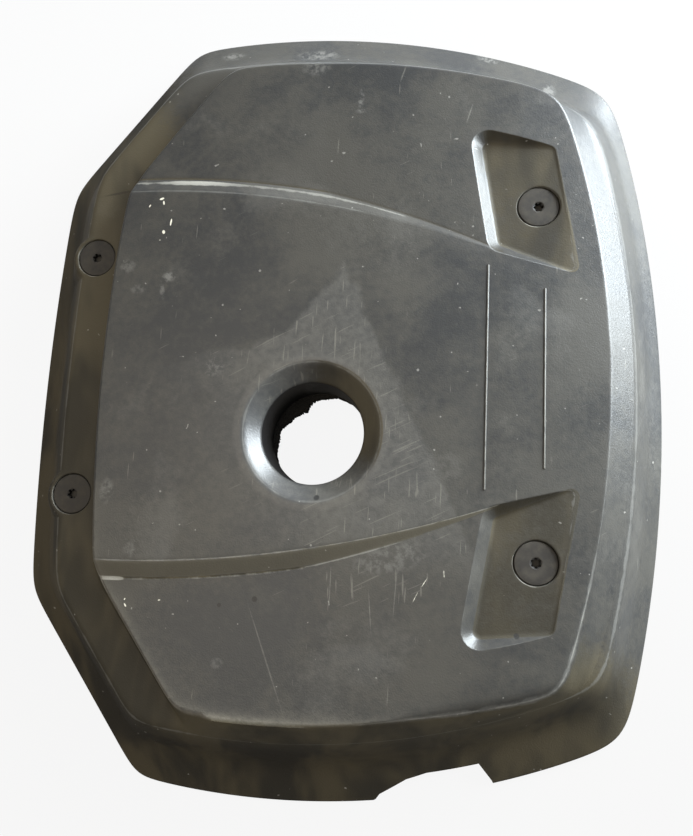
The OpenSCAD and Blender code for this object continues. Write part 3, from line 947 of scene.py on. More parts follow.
def notch_prism():
    """The prism that cuts the lower edge of the right side."""
    start, end, rise = NOTCH
    outline = [
        (start, -1), (start + 10, 0.5 * rise), (start + 27, 0.88 * rise), (start + 40, rise),
        (end - 13, rise), (end - 4, 0.4 * rise), (end, -1),
    ]
    near, far = -COVER_L / 2 - 5, -COVER_L / 2 + 55
    points = [(x, y, z) for y in (near, far) for x, z in outline]
    n = len(outline)
    faces = [tuple(range(n)), tuple(range(n, 2 * n))[::-1]]
    faces += [(j + n, (j + 1) % n + n, (j + 1) % n, j) for j in range(n)]
    return mesh_object("notch", points, faces)


def face_outwards(obj):
    """Makes every face of a closed mesh point outwards."""
    work = bmesh.new()
    work.from_mesh(obj.data)
    bmesh.ops.recalc_face_normals(work, faces=work.faces)
    work.to_mesh(obj.data)
    work.free()
    return obj


def closed_check(obj):
    """How many edges don't have exactly two faces, and the volume in cubic centimetres."""
    work = bmesh.new()
    work.from_mesh(obj.data)
    open_edges = sum(1 for e in work.edges if len(e.link_faces) != 2)
    volume = work.calc_volume(signed=True)
    work.free()
    return open_edges, volume * 1e6


print("outer open edges, cm3", closed_check(outer), "hollow", closed_check(hollow))
shell = boolean(outer, hollow)
boolean(shell, face_outwards(notch_prism()))
shell.name = "moulded_cover"
print("shell", len(shell.data.polygons), "faces", closed_check(shell), round(time.time() - started, 1), "s")

# %% [markdown]
# ## Smooth, but not everywhere
# Shading smooths across soft corners and stops at real edges, such as the mouths of bores. Two
# masks are stored on the points of the mesh as attributes: one for outward corners and one for
# inward corners. Materials read them to place wear and the darker brown of inward corners.

# %% Shading and masks


def smooth(obj, angle=35.0):
    """Smooth shading that stops at edges sharper than the angle in degrees."""
    mesh = obj.data
    mesh.polygons.foreach_set("use_smooth", [True] * len(mesh.polygons))
    mesh.set_sharp_from_angle(angle=math.radians(angle))
    return obj


def coordinates(obj):
    """Vertex places of a mesh, in millimetres."""
    co = np.zeros(len(obj.data.vertices) * 3)
    obj.data.vertices.foreach_get("co", co)
    return co.reshape(-1, 3) / MM


def store(obj, name, values):
    """Stores one number for each vertex, for materials to read."""
    attribute = obj.data.attributes.new(name, "FLOAT", "POINT")
    attribute.data.foreach_set("value", np.asarray(values, np.float32))


def skin_masks(obj):
    """Marks the outer skin's outward and inward corners."""
    co = coordinates(obj)
    z, outward, inward = height(co[:, :2])
    on_skin = np.abs(z - co[:, 2]) < 0.02
    store(obj, "outward", outward * on_skin)
    store(obj, "inward", inward * on_skin)


skin_masks(shell)
smooth(shell)
print("masks on", len(shell.data.vertices), "points")

# %% [markdown]
# ## Building blocks for materials
# The looks come from procedural node groups. Each group does one job that more than one finish
# needs, such as grain, wear or dirt, and gives back a mask or a height. Its sockets have names, and
# those without a value take a place.

# %% Shader groups


def shader_group(name, inputs, outputs):
    """A shader node group with named sockets, its wiring, and its input and output nodes."""
    tree = bpy.data.node_groups.new(name, "ShaderNodeTree")
    for label, value in inputs.items():
        kind = "NodeSocketVector" if value is None else "NodeSocketFloat"
        socket = tree.interface.new_socket(label, in_out="INPUT", socket_type=kind)
        if value is not None:
            socket.default_value = value
    for label in outputs:
        tree.interface.new_socket(label, in_out="OUTPUT", socket_type="NodeSocketFloat")
    wiring = Wiring(tree)
    given = tree.nodes.new("NodeGroupInput").outputs
    result = tree.nodes.new("NodeGroupOutput").inputs
    return wiring, given, result


def use(wiring, group, **inputs):
    """Places a group in a material and returns its outputs."""
    node = wiring.node("ShaderNodeGroup", {"node_tree": group})
    for name, value in inputs.items():
        wiring.feed(node.inputs[name.replace("_", " ")], value)
    return node.outputs


# %% [markdown]
# ## Five effects
# Grain is the fine texture that the mould leaves. Wear rubs outward corners bright in broken
# stretches. Dirt lays brown patches in inward corners and fades out, and it also carries the painted
# shade on the side away from the lamp. Streaks are noise stretched so much that
# only thin dashes are left of it. Smears are soft pale clouds left by hands and rags.

# %% Effects


def make_grain():
    w, given, result = shader_group("moulded_grain", {"Vector": None, "Scale": 900.0}, ["Height"])
    fine = w.noise(given["Vector"], given["Scale"], 2.0, 0.6)
    coarse = w.noise(given["Vector"], w.times(given["Scale"], 0.21), 3.0, 0.5)
    w.feed(result["Height"], w.plus(w.times(fine, 0.6), w.times(coarse, 0.4)))
    return w.tree


def make_wear():
    w, given, result = shader_group(
        "worn_edge", {"Vector": None, "Mask": 0.0, "Scale": 60.0, "Amount": 0.5}, ["Wear"]
    )
    patchy = w.noise(given["Vector"], given["Scale"], 3.0, 0.65)
    cut = w.minus(1.0, given["Amount"])
    strength = w.times(given["Mask"], w.plus(patchy, 0.35))
    w.feed(result["Wear"], w.span(strength, cut, w.plus(cut, 0.22)))
    return w.tree


# Brown patches along a mask: dirt, and painted shade where surfaces turn from the lamp.
def make_dirt_and_shade():
    w, given, result = shader_group(
        "settled_dirt_and_painted_shade", {"Vector": None, "Mask": 0.0, "Scale": 45.0, "Amount": 0.5}, ["Dirt"]
    )
    cloudy = w.noise(given["Vector"], given["Scale"], 4.0, 0.7)
    speckled = w.noise(given["Vector"], w.times(given["Scale"], 12.0), 2.0, 0.6)
    mixed = w.plus(w.times(cloudy, 0.7), w.times(speckled, 0.3))
    edge = w.minus(1.0, given["Amount"])
    lifted = w.plus(w.times(given["Mask"], 0.7), w.times(mixed, 0.55))
    w.feed(result["Dirt"], w.span(lifted, edge, w.plus(edge, 0.3)))
    return w.tree


def make_streaks():
    given = {"Vector": None, "Scale": 700.0, "Length": 12.0, "Cut": 0.62, "Soft": 0.06}
    w, given, result = shader_group("rubbed_streaks", given, ["Streak"])
    thin = w.node("ShaderNodeCombineXYZ", X=1.0, Y=w.math("DIVIDE", 1.0, given["Length"]), Z=0.2).outputs[0]
    product = {"operation": "MULTIPLY"}
    squeezed = w.node("ShaderNodeVectorMath", product, _0=given["Vector"], _1=thin).outputs[0]
    lines = w.noise(squeezed, given["Scale"], 1.0, 0.5, 0.15)
    w.feed(result["Streak"], w.span(lines, given["Cut"], w.plus(given["Cut"], given["Soft"])))
    return w.tree


def make_smears():
    w, given, result = shader_group(
        "pale_smears", {"Vector": None, "Scale": 12.0, "Cut": 0.55, "Softness": 0.2}, ["Smear"]
    )
    cloud = w.noise(given["Vector"], given["Scale"], 2.0, 0.5, 0.6)
    mottled = w.noise(given["Vector"], w.times(given["Scale"], 14.0), 2.0, 0.7)
    lifted = w.plus(cloud, w.times(w.minus(mottled, 0.5), 0.18))
    w.feed(result["Smear"], w.span(lifted, given["Cut"], w.plus(given["Cut"], given["Softness"])))
    return w.tree


GRAIN, WEAR, DIRT_AND_SHADE, STREAKS, SMEARS = (
    make_grain(), make_wear(), make_dirt_and_shade(), make_streaks(), make_smears()
)


def new_material(name, **values):
    """A material, its wiring and its Principled shader, with plain values set on the sockets."""
    material = bpy.data.materials.new(name)
    material.use_nodes = True
    shader = material.node_tree.nodes["Principled BSDF"]
    for label, value in values.items():
        shader.inputs[label.replace("_", " ")].default_value = value
    wiring = Wiring(material.node_tree)
    place = wiring.node("ShaderNodeTexCoord").outputs["Object"]
    return material, wiring, shader, place


print("effects", [t.name for t in (GRAIN, WEAR, DIRT_AND_SHADE, STREAKS, SMEARS)])

# %% [markdown]
# ## Single marks
# Some marks sit at one place only: flecks, smudges, blotches, scratches and a crease. They could be
# painted on an image, but soft ellipses need no picture file and stay clear at any distance. Each
# is a row of a table, in metres, and a table becomes one mask, so a new mark is only a new row.

# %% Single marks
# Each mark: place x and y, half sizes across and along, turn in radians, strength.
PALE_FLECKS = (
    (-0.1222, 0.1195, 0.0022, 0.0010, 0.3, 1.0), (-0.1205, 0.1165, 0.0008, 0.0020, 0.2, 1.0),
    (-0.1306, 0.1146, 0.0008, 0.0018, -0.5, 0.6), (-0.1139, 0.1020, 0.0008, 0.0034, -0.1, 1.0),
    (-0.1186, 0.0951, 0.0016, 0.0022, 0.4, 0.7), (-0.1207, 0.0894, 0.0010, 0.0010, 0.0, 0.5),
    (-0.1239, -0.1537, 0.0008, 0.0020, 0.6, 0.6), (-0.1245, -0.1500, 0.0006, 0.0012, -0.4, 0.6),
    (-0.1011, -0.1492, 0.0014, 0.0007, 0.2, 0.5),
    (0.0770, -0.1235, 0.0010, 0.0036, 0.1, 0.46), (0.0600, -0.1385, 0.0004, 0.0080, -0.45, 0.46),
    (0.0655, -0.1290, 0.0004, 0.0060, -0.55, 0.5),
)
SMUDGES = (
    (-0.1116, 0.0627, 0.0060, 0.0045, 0.0, 0.9), (-0.1157, 0.0536, 0.0022, 0.0080, 0.2, 0.6),
    (-0.1424, 0.0713, 0.0070, 0.0060, 0.0, 0.5), (-0.1333, 0.0546, 0.0070, 0.0040, 0.0, 0.45),
    (-0.0608, -0.1848, 0.0050, 0.0040, 0.0, 0.4), (-0.1700, 0.1210, 0.0130, 0.0130, 0.0, 1.0),
    (-0.1850, 0.1420, 0.0080, 0.0120, 0.5, 0.6), (0.0780, -0.0600, 0.0120, 0.0140, 0.0, 0.15),
    (-0.0742, 0.0008, 0.0095, 0.0085, 0.5, 0.55), (-0.1419, -0.0819, 0.0060, 0.0100, 0.0, 0.6),
    (0.0450, -0.1150, 0.0300, 0.0120, 0.25, 0.5), (-0.1210, -0.1180, 0.0072, 0.0072, 0.0, 0.4),
    (-0.0955, 0.2625, 0.0110, 0.0055, 0.0, 1.0), (-0.0280, 0.2595, 0.0200, 0.0070, 0.0, 0.9),
    (-0.0205, 0.2168, 0.0120, 0.0070, 0.0, 0.5), (0.0125, 0.1913, 0.0026, 0.0090, 0.0, 0.8),
    (0.1007, 0.2566, 0.0110, 0.0040, -0.35, 1.0), (0.1447, 0.2253, 0.0060, 0.0080, 0.0, 0.9),
    (0.0129, 0.1824, 0.0045, 0.0020, 0.0, 0.7),
)
BLOTCHES = (
    (0.0330, -0.0900, 0.0100, 0.0090, 0.0, 1.0), (0.0250, -0.1660, 0.0110, 0.0100, 0.0, 0.8),
    (0.0020, -0.1930, 0.0090, 0.0080, 0.0, 0.9), (0.0000, -0.2180, 0.0090, 0.0080, 0.0, 0.9),
    (-0.0812, -0.0193, 0.0100, 0.0065, 0.0, 0.8), (0.0246, -0.0862, 0.0085, 0.0060, 0.3, 0.8),
)
PIPS = (
    (-0.0389, -0.1449, 0.0021), (0.1208, -0.1578, 0.0020),
    (-0.0614, -0.1498, 0.0016), (-0.0029, -0.0810, 0.0022),
)
CREASES = ((-0.1590, 0.1331, 0.0180, 0.0012, 0.16, 0.9),)
SCRATCHES = (
    (-0.0300, -0.1800, 0.0006, 0.0400, 0.384, 0.38), (0.0330, -0.1480, 0.0004, 0.0160, 0.10, 0.5),
    (0.0480, -0.1350, 0.0004, 0.0200, -0.05, 0.45), (0.0080, -0.1330, 0.0004, 0.0140, 0.0, 0.45),
    (0.0404, 0.2092, 0.0007, 0.0080, -0.28, 0.4), (0.0861, 0.1794, 0.0006, 0.0090, -0.27, 0.5),
)
STREAKED = (
    (0.0350, -0.1330, 0.0420, 0.0260, 0.15, 1.0), (0.0100, -0.0930, 0.0400, 0.0220, 0.0, 0.8),
    (0.0467, -0.0495, 0.0200, 0.0300, 0.35, 1.0),
)
# Spots where the arc lines are palest, rubbed and painted as highlights.
ARC_RUB_AND_HIGHLIGHT = ((-0.0950, 0.1440, 0.0420, 0.0200, 0.0, 1.0), (-0.1370, -0.1380, 0.0130, 0.0120, 0.0, 1.0))


def soft_ellipse(w, place, x, y, across, along, turn_by, strength, softness=0.4):
    """A soft mask that is one in the middle of a turned ellipse and fades out at its edge."""
    c, s = math.cos(turn_by), math.sin(turn_by)
    offset = w.node("ShaderNodeVectorMath", {"operation": "SUBTRACT"}, _0=place, _1=(x, y, 0)).outputs[0]
    shares = w.dot(offset, (c / across, s / across, 0)), w.dot(offset, (-s / along, c / along, 0))
    squared = [w.times(share, share) for share in shares]
    return w.span(w.plus(*squared), softness**2, 1.0, strength, 0.0)


def marks(w, place, table, softness=0.4):
    """One mask from a table of soft ellipses."""
    mask = None
    for row in table:
        one = soft_ellipse(w, place, *row, softness)
        mask = one if mask is None else w.most(mask, one)
    return mask


def attribute(w, name):
    """A mask that is stored on the mesh."""
    return w.node("ShaderNodeAttribute", {"attribute_name": name}).outputs["Fac"]


tables = (PALE_FLECKS, SMUDGES, BLOTCHES, CREASES, SCRATCHES, STREAKED, ARC_RUB_AND_HIGHLIGHT)
print("single marks", sum(len(table) for table in tables) + len(PIPS))

# %% [markdown]
# ## The black moulding
# Old engine plastic is never plain black. It has faded to a mottled grey, with brown in the
# creases, on the rear ledge and down the skirt, which is dirt and, on the side away from the lamp,
# painted shade as well. It has pale lines that are partly rubbed edges and partly painted highlights,
# and streaks that lie closer together in a few places. Each function below lays one of these over
# the colour so far.

# %% Black moulding
PLASTIC, FADED, BLOTCH = (0.031, 0.031, 0.031, 1), (0.059, 0.055, 0.047, 1), (0.022, 0.021, 0.020, 1)
PALE_DUST, STREAK, BEVEL_OLIVE = (0.19, 0.183, 0.168, 1), (0.21, 0.195, 0.165, 1), (0.125, 0.110, 0.078, 1)
LEDGE_DIRT_AND_SHADE = (0.030, 0.024, 0.012, 1), (0.078, 0.063, 0.034, 1)
SKIRT_DIRT_AND_SHADE = (0.014, 0.010, 0.003, 1), (0.056, 0.043, 0.020, 1)
WORN, RUBBED_AND_HIGHLIGHT_LINE, EDGE_DUST = (0.2, 0.195, 0.18, 1), (0.4, 0.385, 0.34, 1), (0.18, 0.165, 0.135, 1)
TUBE_PAINTED_SHADE, CREASE, SCRATCH = (0.008, 0.008, 0.009, 1), (0.030, 0.023, 0.012, 1), (0.2, 0.19, 0.165, 1)
PIP, FLECK, SPECK = (0.012, 0.011, 0.01, 1), (0.78, 0.74, 0.62, 1), (0.42, 0.40, 0.36, 1)
# Borders of the dusty field round the opening: each a unit normal and an offset in metres.
DUST_RIGHT = (-0.9044, -0.4267, -0.0379)
DUST_WEDGE = (0.8046, -0.5938, -0.0371)
DUST_TOP = (0.2592, -0.9658, -0.0298)


def dust_field(w, place):
    """The dusty field round the opening: left of one border and below either of two others."""
    uneven = w.times(w.minus(w.noise(place, 45.0, 4.0, 0.6), 0.5), 0.016)
    borders = DUST_RIGHT, DUST_WEDGE, DUST_TOP
    right, wedge, top = (w.minus(w.dot(place, (x, y, 0)), offset) for x, y, offset in borders)
    inside = w.plus(w.least(right, w.most(wedge, top)), uneven)
    across = w.node("ShaderNodeSeparateXYZ", Vector=place).outputs["Y"]
    fading = w.times(w.span(right, 0.05, 0.16, 1.0, 0.0), w.span(across, -0.135, -0.09))
    return w.times(w.span(inside, -0.002, 0.003), fading)


def faded_plastic(w, place, tone):
    """The colour of the bare plastic: mottled grey, with a few dark blotches."""
    colour = w.blend(w.span(tone, 0.38, 0.62), PLASTIC, FADED)
    return w.blend(w.times(marks(w, place, BLOTCHES, 0.3), 0.4), colour, BLOTCH)


def pale_mask(w, place, mottle, field):
    """Where pale smears, smudges and the dusty field lie."""
    smear = use(w, SMEARS, Vector=place, Scale=15.0, Cut=0.56, Softness=0.22)["Smear"]
    smudged = w.times(marks(w, place, SMUDGES, 0.2), w.span(mottle, 0.38, 0.62))
    dust = w.times(field, w.span(mottle, 0.3, 0.7, 0.13, 0.24))
    on_panel = w.minus(1.0, w.most(attribute(w, "skirt"), attribute(w, "bevel")))
    return w.most(w.most(w.times(smear, 0.15), w.times(smudged, 0.75)), w.times(dust, on_panel))


def streak_mask(w, place, field):
    """Fine dashes in two directions, closer together where the cover was rubbed."""
    rubbed = w.most(marks(w, place, STREAKED, 0.2), w.times(field, 0.9))
    cut = w.minus(0.76, w.times(rubbed, 0.12))
    upright = use(w, STREAKS, Vector=place, Scale=620.0, Length=13.0, Cut=cut)["Streak"]
    tilted = w.mapped(place, rotation=(0, 0, 1.1), location=(0.3, 0.1, 0))
    crossed = use(w, STREAKS, Vector=tilted, Scale=800.0, Length=22.0, Cut=w.plus(cut, 0.01))["Streak"]
    return w.most(upright, w.times(crossed, 0.7))


def brown_dirt_and_shade(w, place):
    """The brown of dirt and painted shade, thicker in clouds, and browner on the skirt than on the ledge."""
    thick = w.span(w.noise(w.mapped(place, scale=(1, 0.35, 1)), 22.0, 3.0, 0.6, 0.4), 0.38, 0.62)
    ledge, skirt = w.blend(thick, *LEDGE_DIRT_AND_SHADE), w.blend(thick, *SKIRT_DIRT_AND_SHADE)
    return w.blend(attribute(w, "skirt"), ledge, skirt)


def rubbed_and_highlight_lines(w, place, colour, mottle):
    """Lays worn corners, pale lines that are rubbed and painted as highlights, and the dusty edge over a
    colour.
    """
    worn = use(w, WEAR, Vector=place, Mask=attribute(w, "outward"), Scale=80.0, Amount=0.45)["Wear"]
    colour = w.blend(w.times(worn, 0.35), colour, WORN)
    # Pale lines along the arcs, ridges, seat rims and plateau's edge: rubbing and painted highlights.
    spot = marks(w, place, ARC_RUB_AND_HIGHLIGHT, 0.3)
    line = w.most(w.times(attribute(w, "crest_rub_and_highlight"), 0.8), attribute(w, "foot_rub_and_highlight"))
    amount = w.plus(0.52, w.times(spot, 0.38))
    line_rub_and_highlight = use(w, WEAR, Vector=place, Mask=line, Scale=120.0, Amount=amount)["Wear"]
    strength = w.plus(0.35, w.times(spot, 0.5))
    colour = w.blend(w.times(line_rub_and_highlight, strength), colour, RUBBED_AND_HIGHLIGHT_LINE)
    dusty = w.times(attribute(w, "dusty_edge"), w.span(mottle, 0.3, 0.6, 0.6, 1.0))
    return w.blend(dusty, colour, EDGE_DUST)


def single_marks(w, place, colour, mottle):
    """Lays painted shade inside the tube, creases, scratches, pips, flecks and specks over a colour."""
    # The inside of the tube is painted near black: painted shade.
    colour = w.blend(attribute(w, "tube"), colour, TUBE_PAINTED_SHADE)
    creased = w.most(marks(w, place, CREASES, 0.2), w.times(attribute(w, "crease_line"), 0.75))
    colour = w.blend(creased, colour, CREASE)
    scratched = w.times(marks(w, place, SCRATCHES, 0.2), w.span(mottle, 0.3, 0.6, 0.4, 1.0))
    colour = w.blend(scratched, colour, SCRATCH)
    for x, y, size in PIPS:
        pip = soft_ellipse(w, place, x, y, size, size, 0, 0.85, 0.6)
        colour = w.blend(pip, colour, PIP)
    flecks = w.times(marks(w, place, PALE_FLECKS, 0.3), w.plus(mottle, 0.5))
    colour = w.blend(w.span(flecks, 0.35, 0.6), colour, FLECK)
    specks = w.span(w.noise(w.mapped(place, location=(3, 1, 2)), 340.0, 0.0, 0.5), 0.85, 0.88)
    return w.blend(w.times(specks, 0.4), colour, SPECK)


def make_moulding():
    material, w, shader, place = new_material("black_moulding", Specular_IOR_Level=0.45, Coat_Roughness=0.35)
    mottle = w.noise(place, 210.0, 3.0, 0.7)
    tone = w.plus(w.times(w.noise(place, 11.0, 4.0, 0.6, 0.3), 0.72), w.times(mottle, 0.28))
    field = dust_field(w, place)
    pale = pale_mask(w, place, mottle, field)
    # Brown along this mask: dirt, and painted shade on the sides and walls turned from the lamp.
    soiled_and_shaded = w.most(attribute(w, "soil_and_shade"), attribute(w, "inward"))
    dirt = use(w, DIRT_AND_SHADE, Vector=place, Mask=soiled_and_shaded, Scale=26.0, Amount=0.5)["Dirt"]

    colour = faded_plastic(w, place, tone)
    colour = w.blend(pale, colour, PALE_DUST)
    colour = w.blend(w.times(streak_mask(w, place, field), 0.40), colour, STREAK)
    # The lower arc's bevel is painted a paler olive.
    colour = w.blend(w.times(attribute(w, "bevel"), 0.65), colour, BEVEL_OLIVE)
    colour = w.blend(w.times(dirt, 0.88), colour, brown_dirt_and_shade(w, place))
    colour = rubbed_and_highlight_lines(w, place, colour, mottle)
    w.feed(shader.inputs["Base Color"], single_marks(w, place, colour, mottle))

    polish = attribute(w, "polish")
    w.feed(shader.inputs["Coat Weight"], w.times(polish, 0.4))
    rough = w.minus(w.span(tone, 0.3, 0.7, 0.33, 0.44), w.times(polish, 0.03))
    rough = w.plus(rough, w.times(dirt, 0.3))
    w.feed(shader.inputs["Roughness"], w.math("ADD", rough, w.times(pale, 0.15), clamp=True))
    relief = w.plus(w.noise(place, 900.0, 2.0, 0.6), w.times(w.noise(place, 60.0, 1.0, 0.5), 1.4))
    w.feed(shader.inputs["Normal"], w.bump(relief, 0.3, 0.0004))
    return material


moulding = make_moulding()
print("moulding paint", len(moulding.node_tree.nodes), "nodes")

# %% [markdown]
# ## Where dirt, wear and painted light lie
# Brown lies on the side of the cover away from the window lamp, as dirt and painted shade, and in its
# hollows. Thin pale lines, partly rubbed and partly painted highlights, run along the arcs, the
# ridges, the screw seats and the plateau's edge. Noise alone can't know these places.
# So masks are worked out from the same lines as the shape, and are stored on the mesh.
# So masks are worked out from the same lines as the shape, and are stored on the mesh.

# %% Soil and lines
DIRT_AND_SHADE_SIDE = math.radians(220)


def seat_rim_highlights(p):
    """The half of each screw seat's rim whose wall faces the lamp: a painted highlight, and rubbing."""
    mask = np.zeros(len(p))
    for place in SCREW_PLACES.values():
        v = p - place
        d = np.linalg.norm(v, axis=1)
        turned_to = v @ np.array((-0.8, -0.6)) / np.maximum(d, 1e-6)
        rim = np.clip(1.3 - np.abs(d - SEAT_R - 0.4) / 0.6, 0, 1)
        mask = np.maximum(mask, rim * np.clip(turned_to * 1.5, 0, 1))
    return mask


def dirt_and_shade_masks(obj):
    """Stores where brown lies: dirt and painted shade on the skirt and ledge away from the light, painted
    shade on pocket walls and the funnel's far wall turned from it, and brown in hollows.
    """
    p = coordinates(obj)[:, :2]
    rho, u = polar(p)
    edge, rim = (reach(u, LEVELS[k][0]) for k in ("edge", "rim"))
    skirt = np.clip((rho - rim) / 8, 0, 1)
    outside = np.clip((rho - edge + 3) / 5, 0, 1) * (0.85 + 0.15 * skirt)
    # The side away from the window lamp gets brown dirt and painted shade.
    dirty_and_shaded_side = np.clip((u @ np.array((math.cos(DIRT_AND_SHADE_SIDE), math.sin(DIRT_AND_SHADE_SIDE))) + 0.42) / 0.3, 0, 1)
    pockets = np.minimum(pocket_distance(p, -1), pocket_distance(p, 1))
    normals = np.zeros(len(p) * 3)
    obj.data.vertices.foreach_get("normal", normals)
    # Pocket walls turned away from the window lamp get painted shade.
    shaded = np.clip(-normals.reshape(-1, 3) @ np.array((0.5, 0.87, 0)) * 3 - 0.4, 0, 1)
    pocket_dirt_and_shade = 0.66 * np.maximum(np.clip(1 - pockets / 3, 0, 1), shaded * (pockets < 12))
    # The funnel's far wall, turned away from the lamp, gets painted shade.
    funnel = 0.8 * (opening_distance(p) < FUNNEL_R + 1) * np.clip(u @ np.array((0.85, 0.53)) * 1.4, 0, 1)
    corner = 0.275 * np.exp(-np.hypot(p[:, 0] + 150, p[:, 1] - 110) ** 2 / 2 / 40**2) * (rho < edge)
    store(obj, "skirt", skirt)
    store(obj, "soil_and_shade", np.maximum.reduce((outside * dirty_and_shaded_side, pocket_dirt_and_shade, corner, funnel)))
    # The inside of the tube, which gets painted shade.
    store(obj, "tube", opening_distance(p) < TUBE_R + 0.3)
    walls = (pockets > 1) & (pockets < 14) & (p[:, 0] < 120)
    store(obj, "polish", np.maximum(opening_distance(p) < 50, 0.3 * walls))


def line_masks(obj):
    """Stores the arcs' crest line, foot line and bevel, the ridges and the plateau's edge; the lines are
    rubbed and painted as highlights.
    """
    p = coordinates(obj)[:, :2]
    rho, u = polar(p)
    right = -u[:, 1]
    edge = reach(u, LEVELS["edge"][0])
    pockets = np.minimum(pocket_distance(p, -1), pocket_distance(p, 1))
    share = wing_drop(p[:, 0]) / PANEL_STEP
    aside = np.abs(p[:, 1]) - arc_y(p[:, 0])
    on_top = (rho < edge) & (p[:, 0] < 110)
    upper = p[:, 1] > 0
    outward = np.zeros(len(p), np.float32)
    obj.data.attributes["outward"].data.foreach_get("value", outward)

    # The plateau's edge on its right side and the lower arc's crest get painted highlights.
    plateau_edge_highlight = outward**3 * (np.abs(rho - edge) < 7) * np.clip(right * 2, 0, 1) * (pockets > 4)
    arc_crest_highlight = np.clip(1 - np.abs(aside) / 1.5, 0, 1) * on_top * ~upper
    past_end = [np.maximum(0, np.abs(p[:, 1]) - half) for _, half in RIDGES]
    ridge = np.min([np.hypot(p[:, 0] - x, past) for (x, _), past in zip(RIDGES, past_end)], axis=0)
    store(obj, "crest_rub_and_highlight", np.maximum.reduce((arc_crest_highlight, plateau_edge_highlight, ridge < 0.45, seat_rim_highlights(p))))

    dusty = np.exp(-np.abs(np.maximum(edge - rho, -1)) / 2.6) * (rho < edge + 0.8)
    along = np.clip((90 - p[:, 0]) / 150, 0, 1)
    store(obj, "dusty_edge", dusty * np.clip(right * 2 - 0.4, 0, 1) * along)

    from_foot = aside - PANEL_BEVEL * share
    rubbed = np.where(upper, np.abs(from_foot + 3.2 * share) / 1.8, np.abs(from_foot - 0.6) / 1.6)
    fading = np.clip((95 - p[:, 0]) / 60, 0, 1) * np.clip(share * 3 - 0.6, 0, 1)
    store(obj, "foot_rub_and_highlight", np.clip(1 - rubbed, 0, 1) * on_top * fading)
    store(obj, "crease_line", np.clip(1 - np.abs(from_foot - 0.3) / 1.5, 0, 1) * on_top * upper)
    store(obj, "bevel", ((aside > 0) & (aside < PANEL_BEVEL * share)) * on_top * ~upper)


dirt_and_shade_masks(shell)
line_masks(shell)
shell.data.materials.clear()
shell.data.materials.append(moulding)
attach(shell, "root")
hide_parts("cover_shell")
print("moulding done", round(time.time() - started, 1), "s")

# %% [markdown]
# ## Screws with a real thread
# A screw is a turned profile. The six-lobed socket is one boolean: a node tree sets six thin
# cylinders round a thick one to make the cutter. A second tree gives the shank its thread. It moves
# each point in or out by a wave that depends on height and angle, so the ridge winds like a helix.

# %% Screws
HEAD_R, HEAD_SINK, HEAD_T = 13.2, 0.6, 2.4
HUB_R, HUB_H, NECK_R, NECK_L = 6.0, 3.0, 2.5, 10.0
THREAD_R, THREAD_L, THREAD_PITCH = 3.0, 17.0, 1.0
SOCKET_D, SOCKET_DEPTH = 6.6, 3.6
SLIP = 0.1
HEAD_BASE = -HEAD_SINK - HEAD_T
PLATE_Z = SEAT_DEPTH + WALL
BUSH_FOOT = -PLATE_Z - 7.0
SCREW_TURNS = {"front_left": 0.1, "front_right": 0.55, "rear_left": 0.9, "rear_right": 0.3}


def arc(centre, radius, start, end, count=5):
    """Points of an arc in a profile, with angles in degrees."""
    a = np.radians(np.linspace(start, end, count))
    return [(centre[0] + radius * math.cos(t), centre[1] + radius * math.sin(t)) for t in a]


def thread_tree():
    """A tree that winds a thread round the part of a shank between two heights."""
    w, given, result = new_tree("thread", Pitch=0.001, Depth=0.0006, Top=0.0, Bottom=-0.01)
    place = w.node("ShaderNodeSeparateXYZ", _0=w.node("GeometryNodeInputPosition").outputs[0])
    x, y, z = (place.outputs[k] for k in range(3))
    turns = w.math("DIVIDE", w.math("ARCTAN2", y, x), 2 * math.pi)
    phase = w.minus(w.math("DIVIDE", z, given["Pitch"]), turns)
    wave = w.times(w.math("PINGPONG", phase, 0.5), 2.0)
    threaded = w.times(w.math("LESS_THAN", z, given["Top"]), w.math("GREATER_THAN", z, given["Bottom"]))
    depth = w.times(w.times(wave, given["Depth"]), w.times(threaded, -1.0))
    aside = w.node("ShaderNodeCombineXYZ", X=x, Y=y).outputs[0]
    unit = w.node("ShaderNodeVectorMath", {"operation": "NORMALIZE"}, _0=aside).outputs[0]
    shift = w.node("ShaderNodeVectorMath", {"operation": "SCALE"}, _0=unit, Scale=depth).outputs[0]
    move = w.node("GeometryNodeSetPosition", Geometry=given["Points"], Offset=shift)
    return made_real(w, result, move.outputs[0])


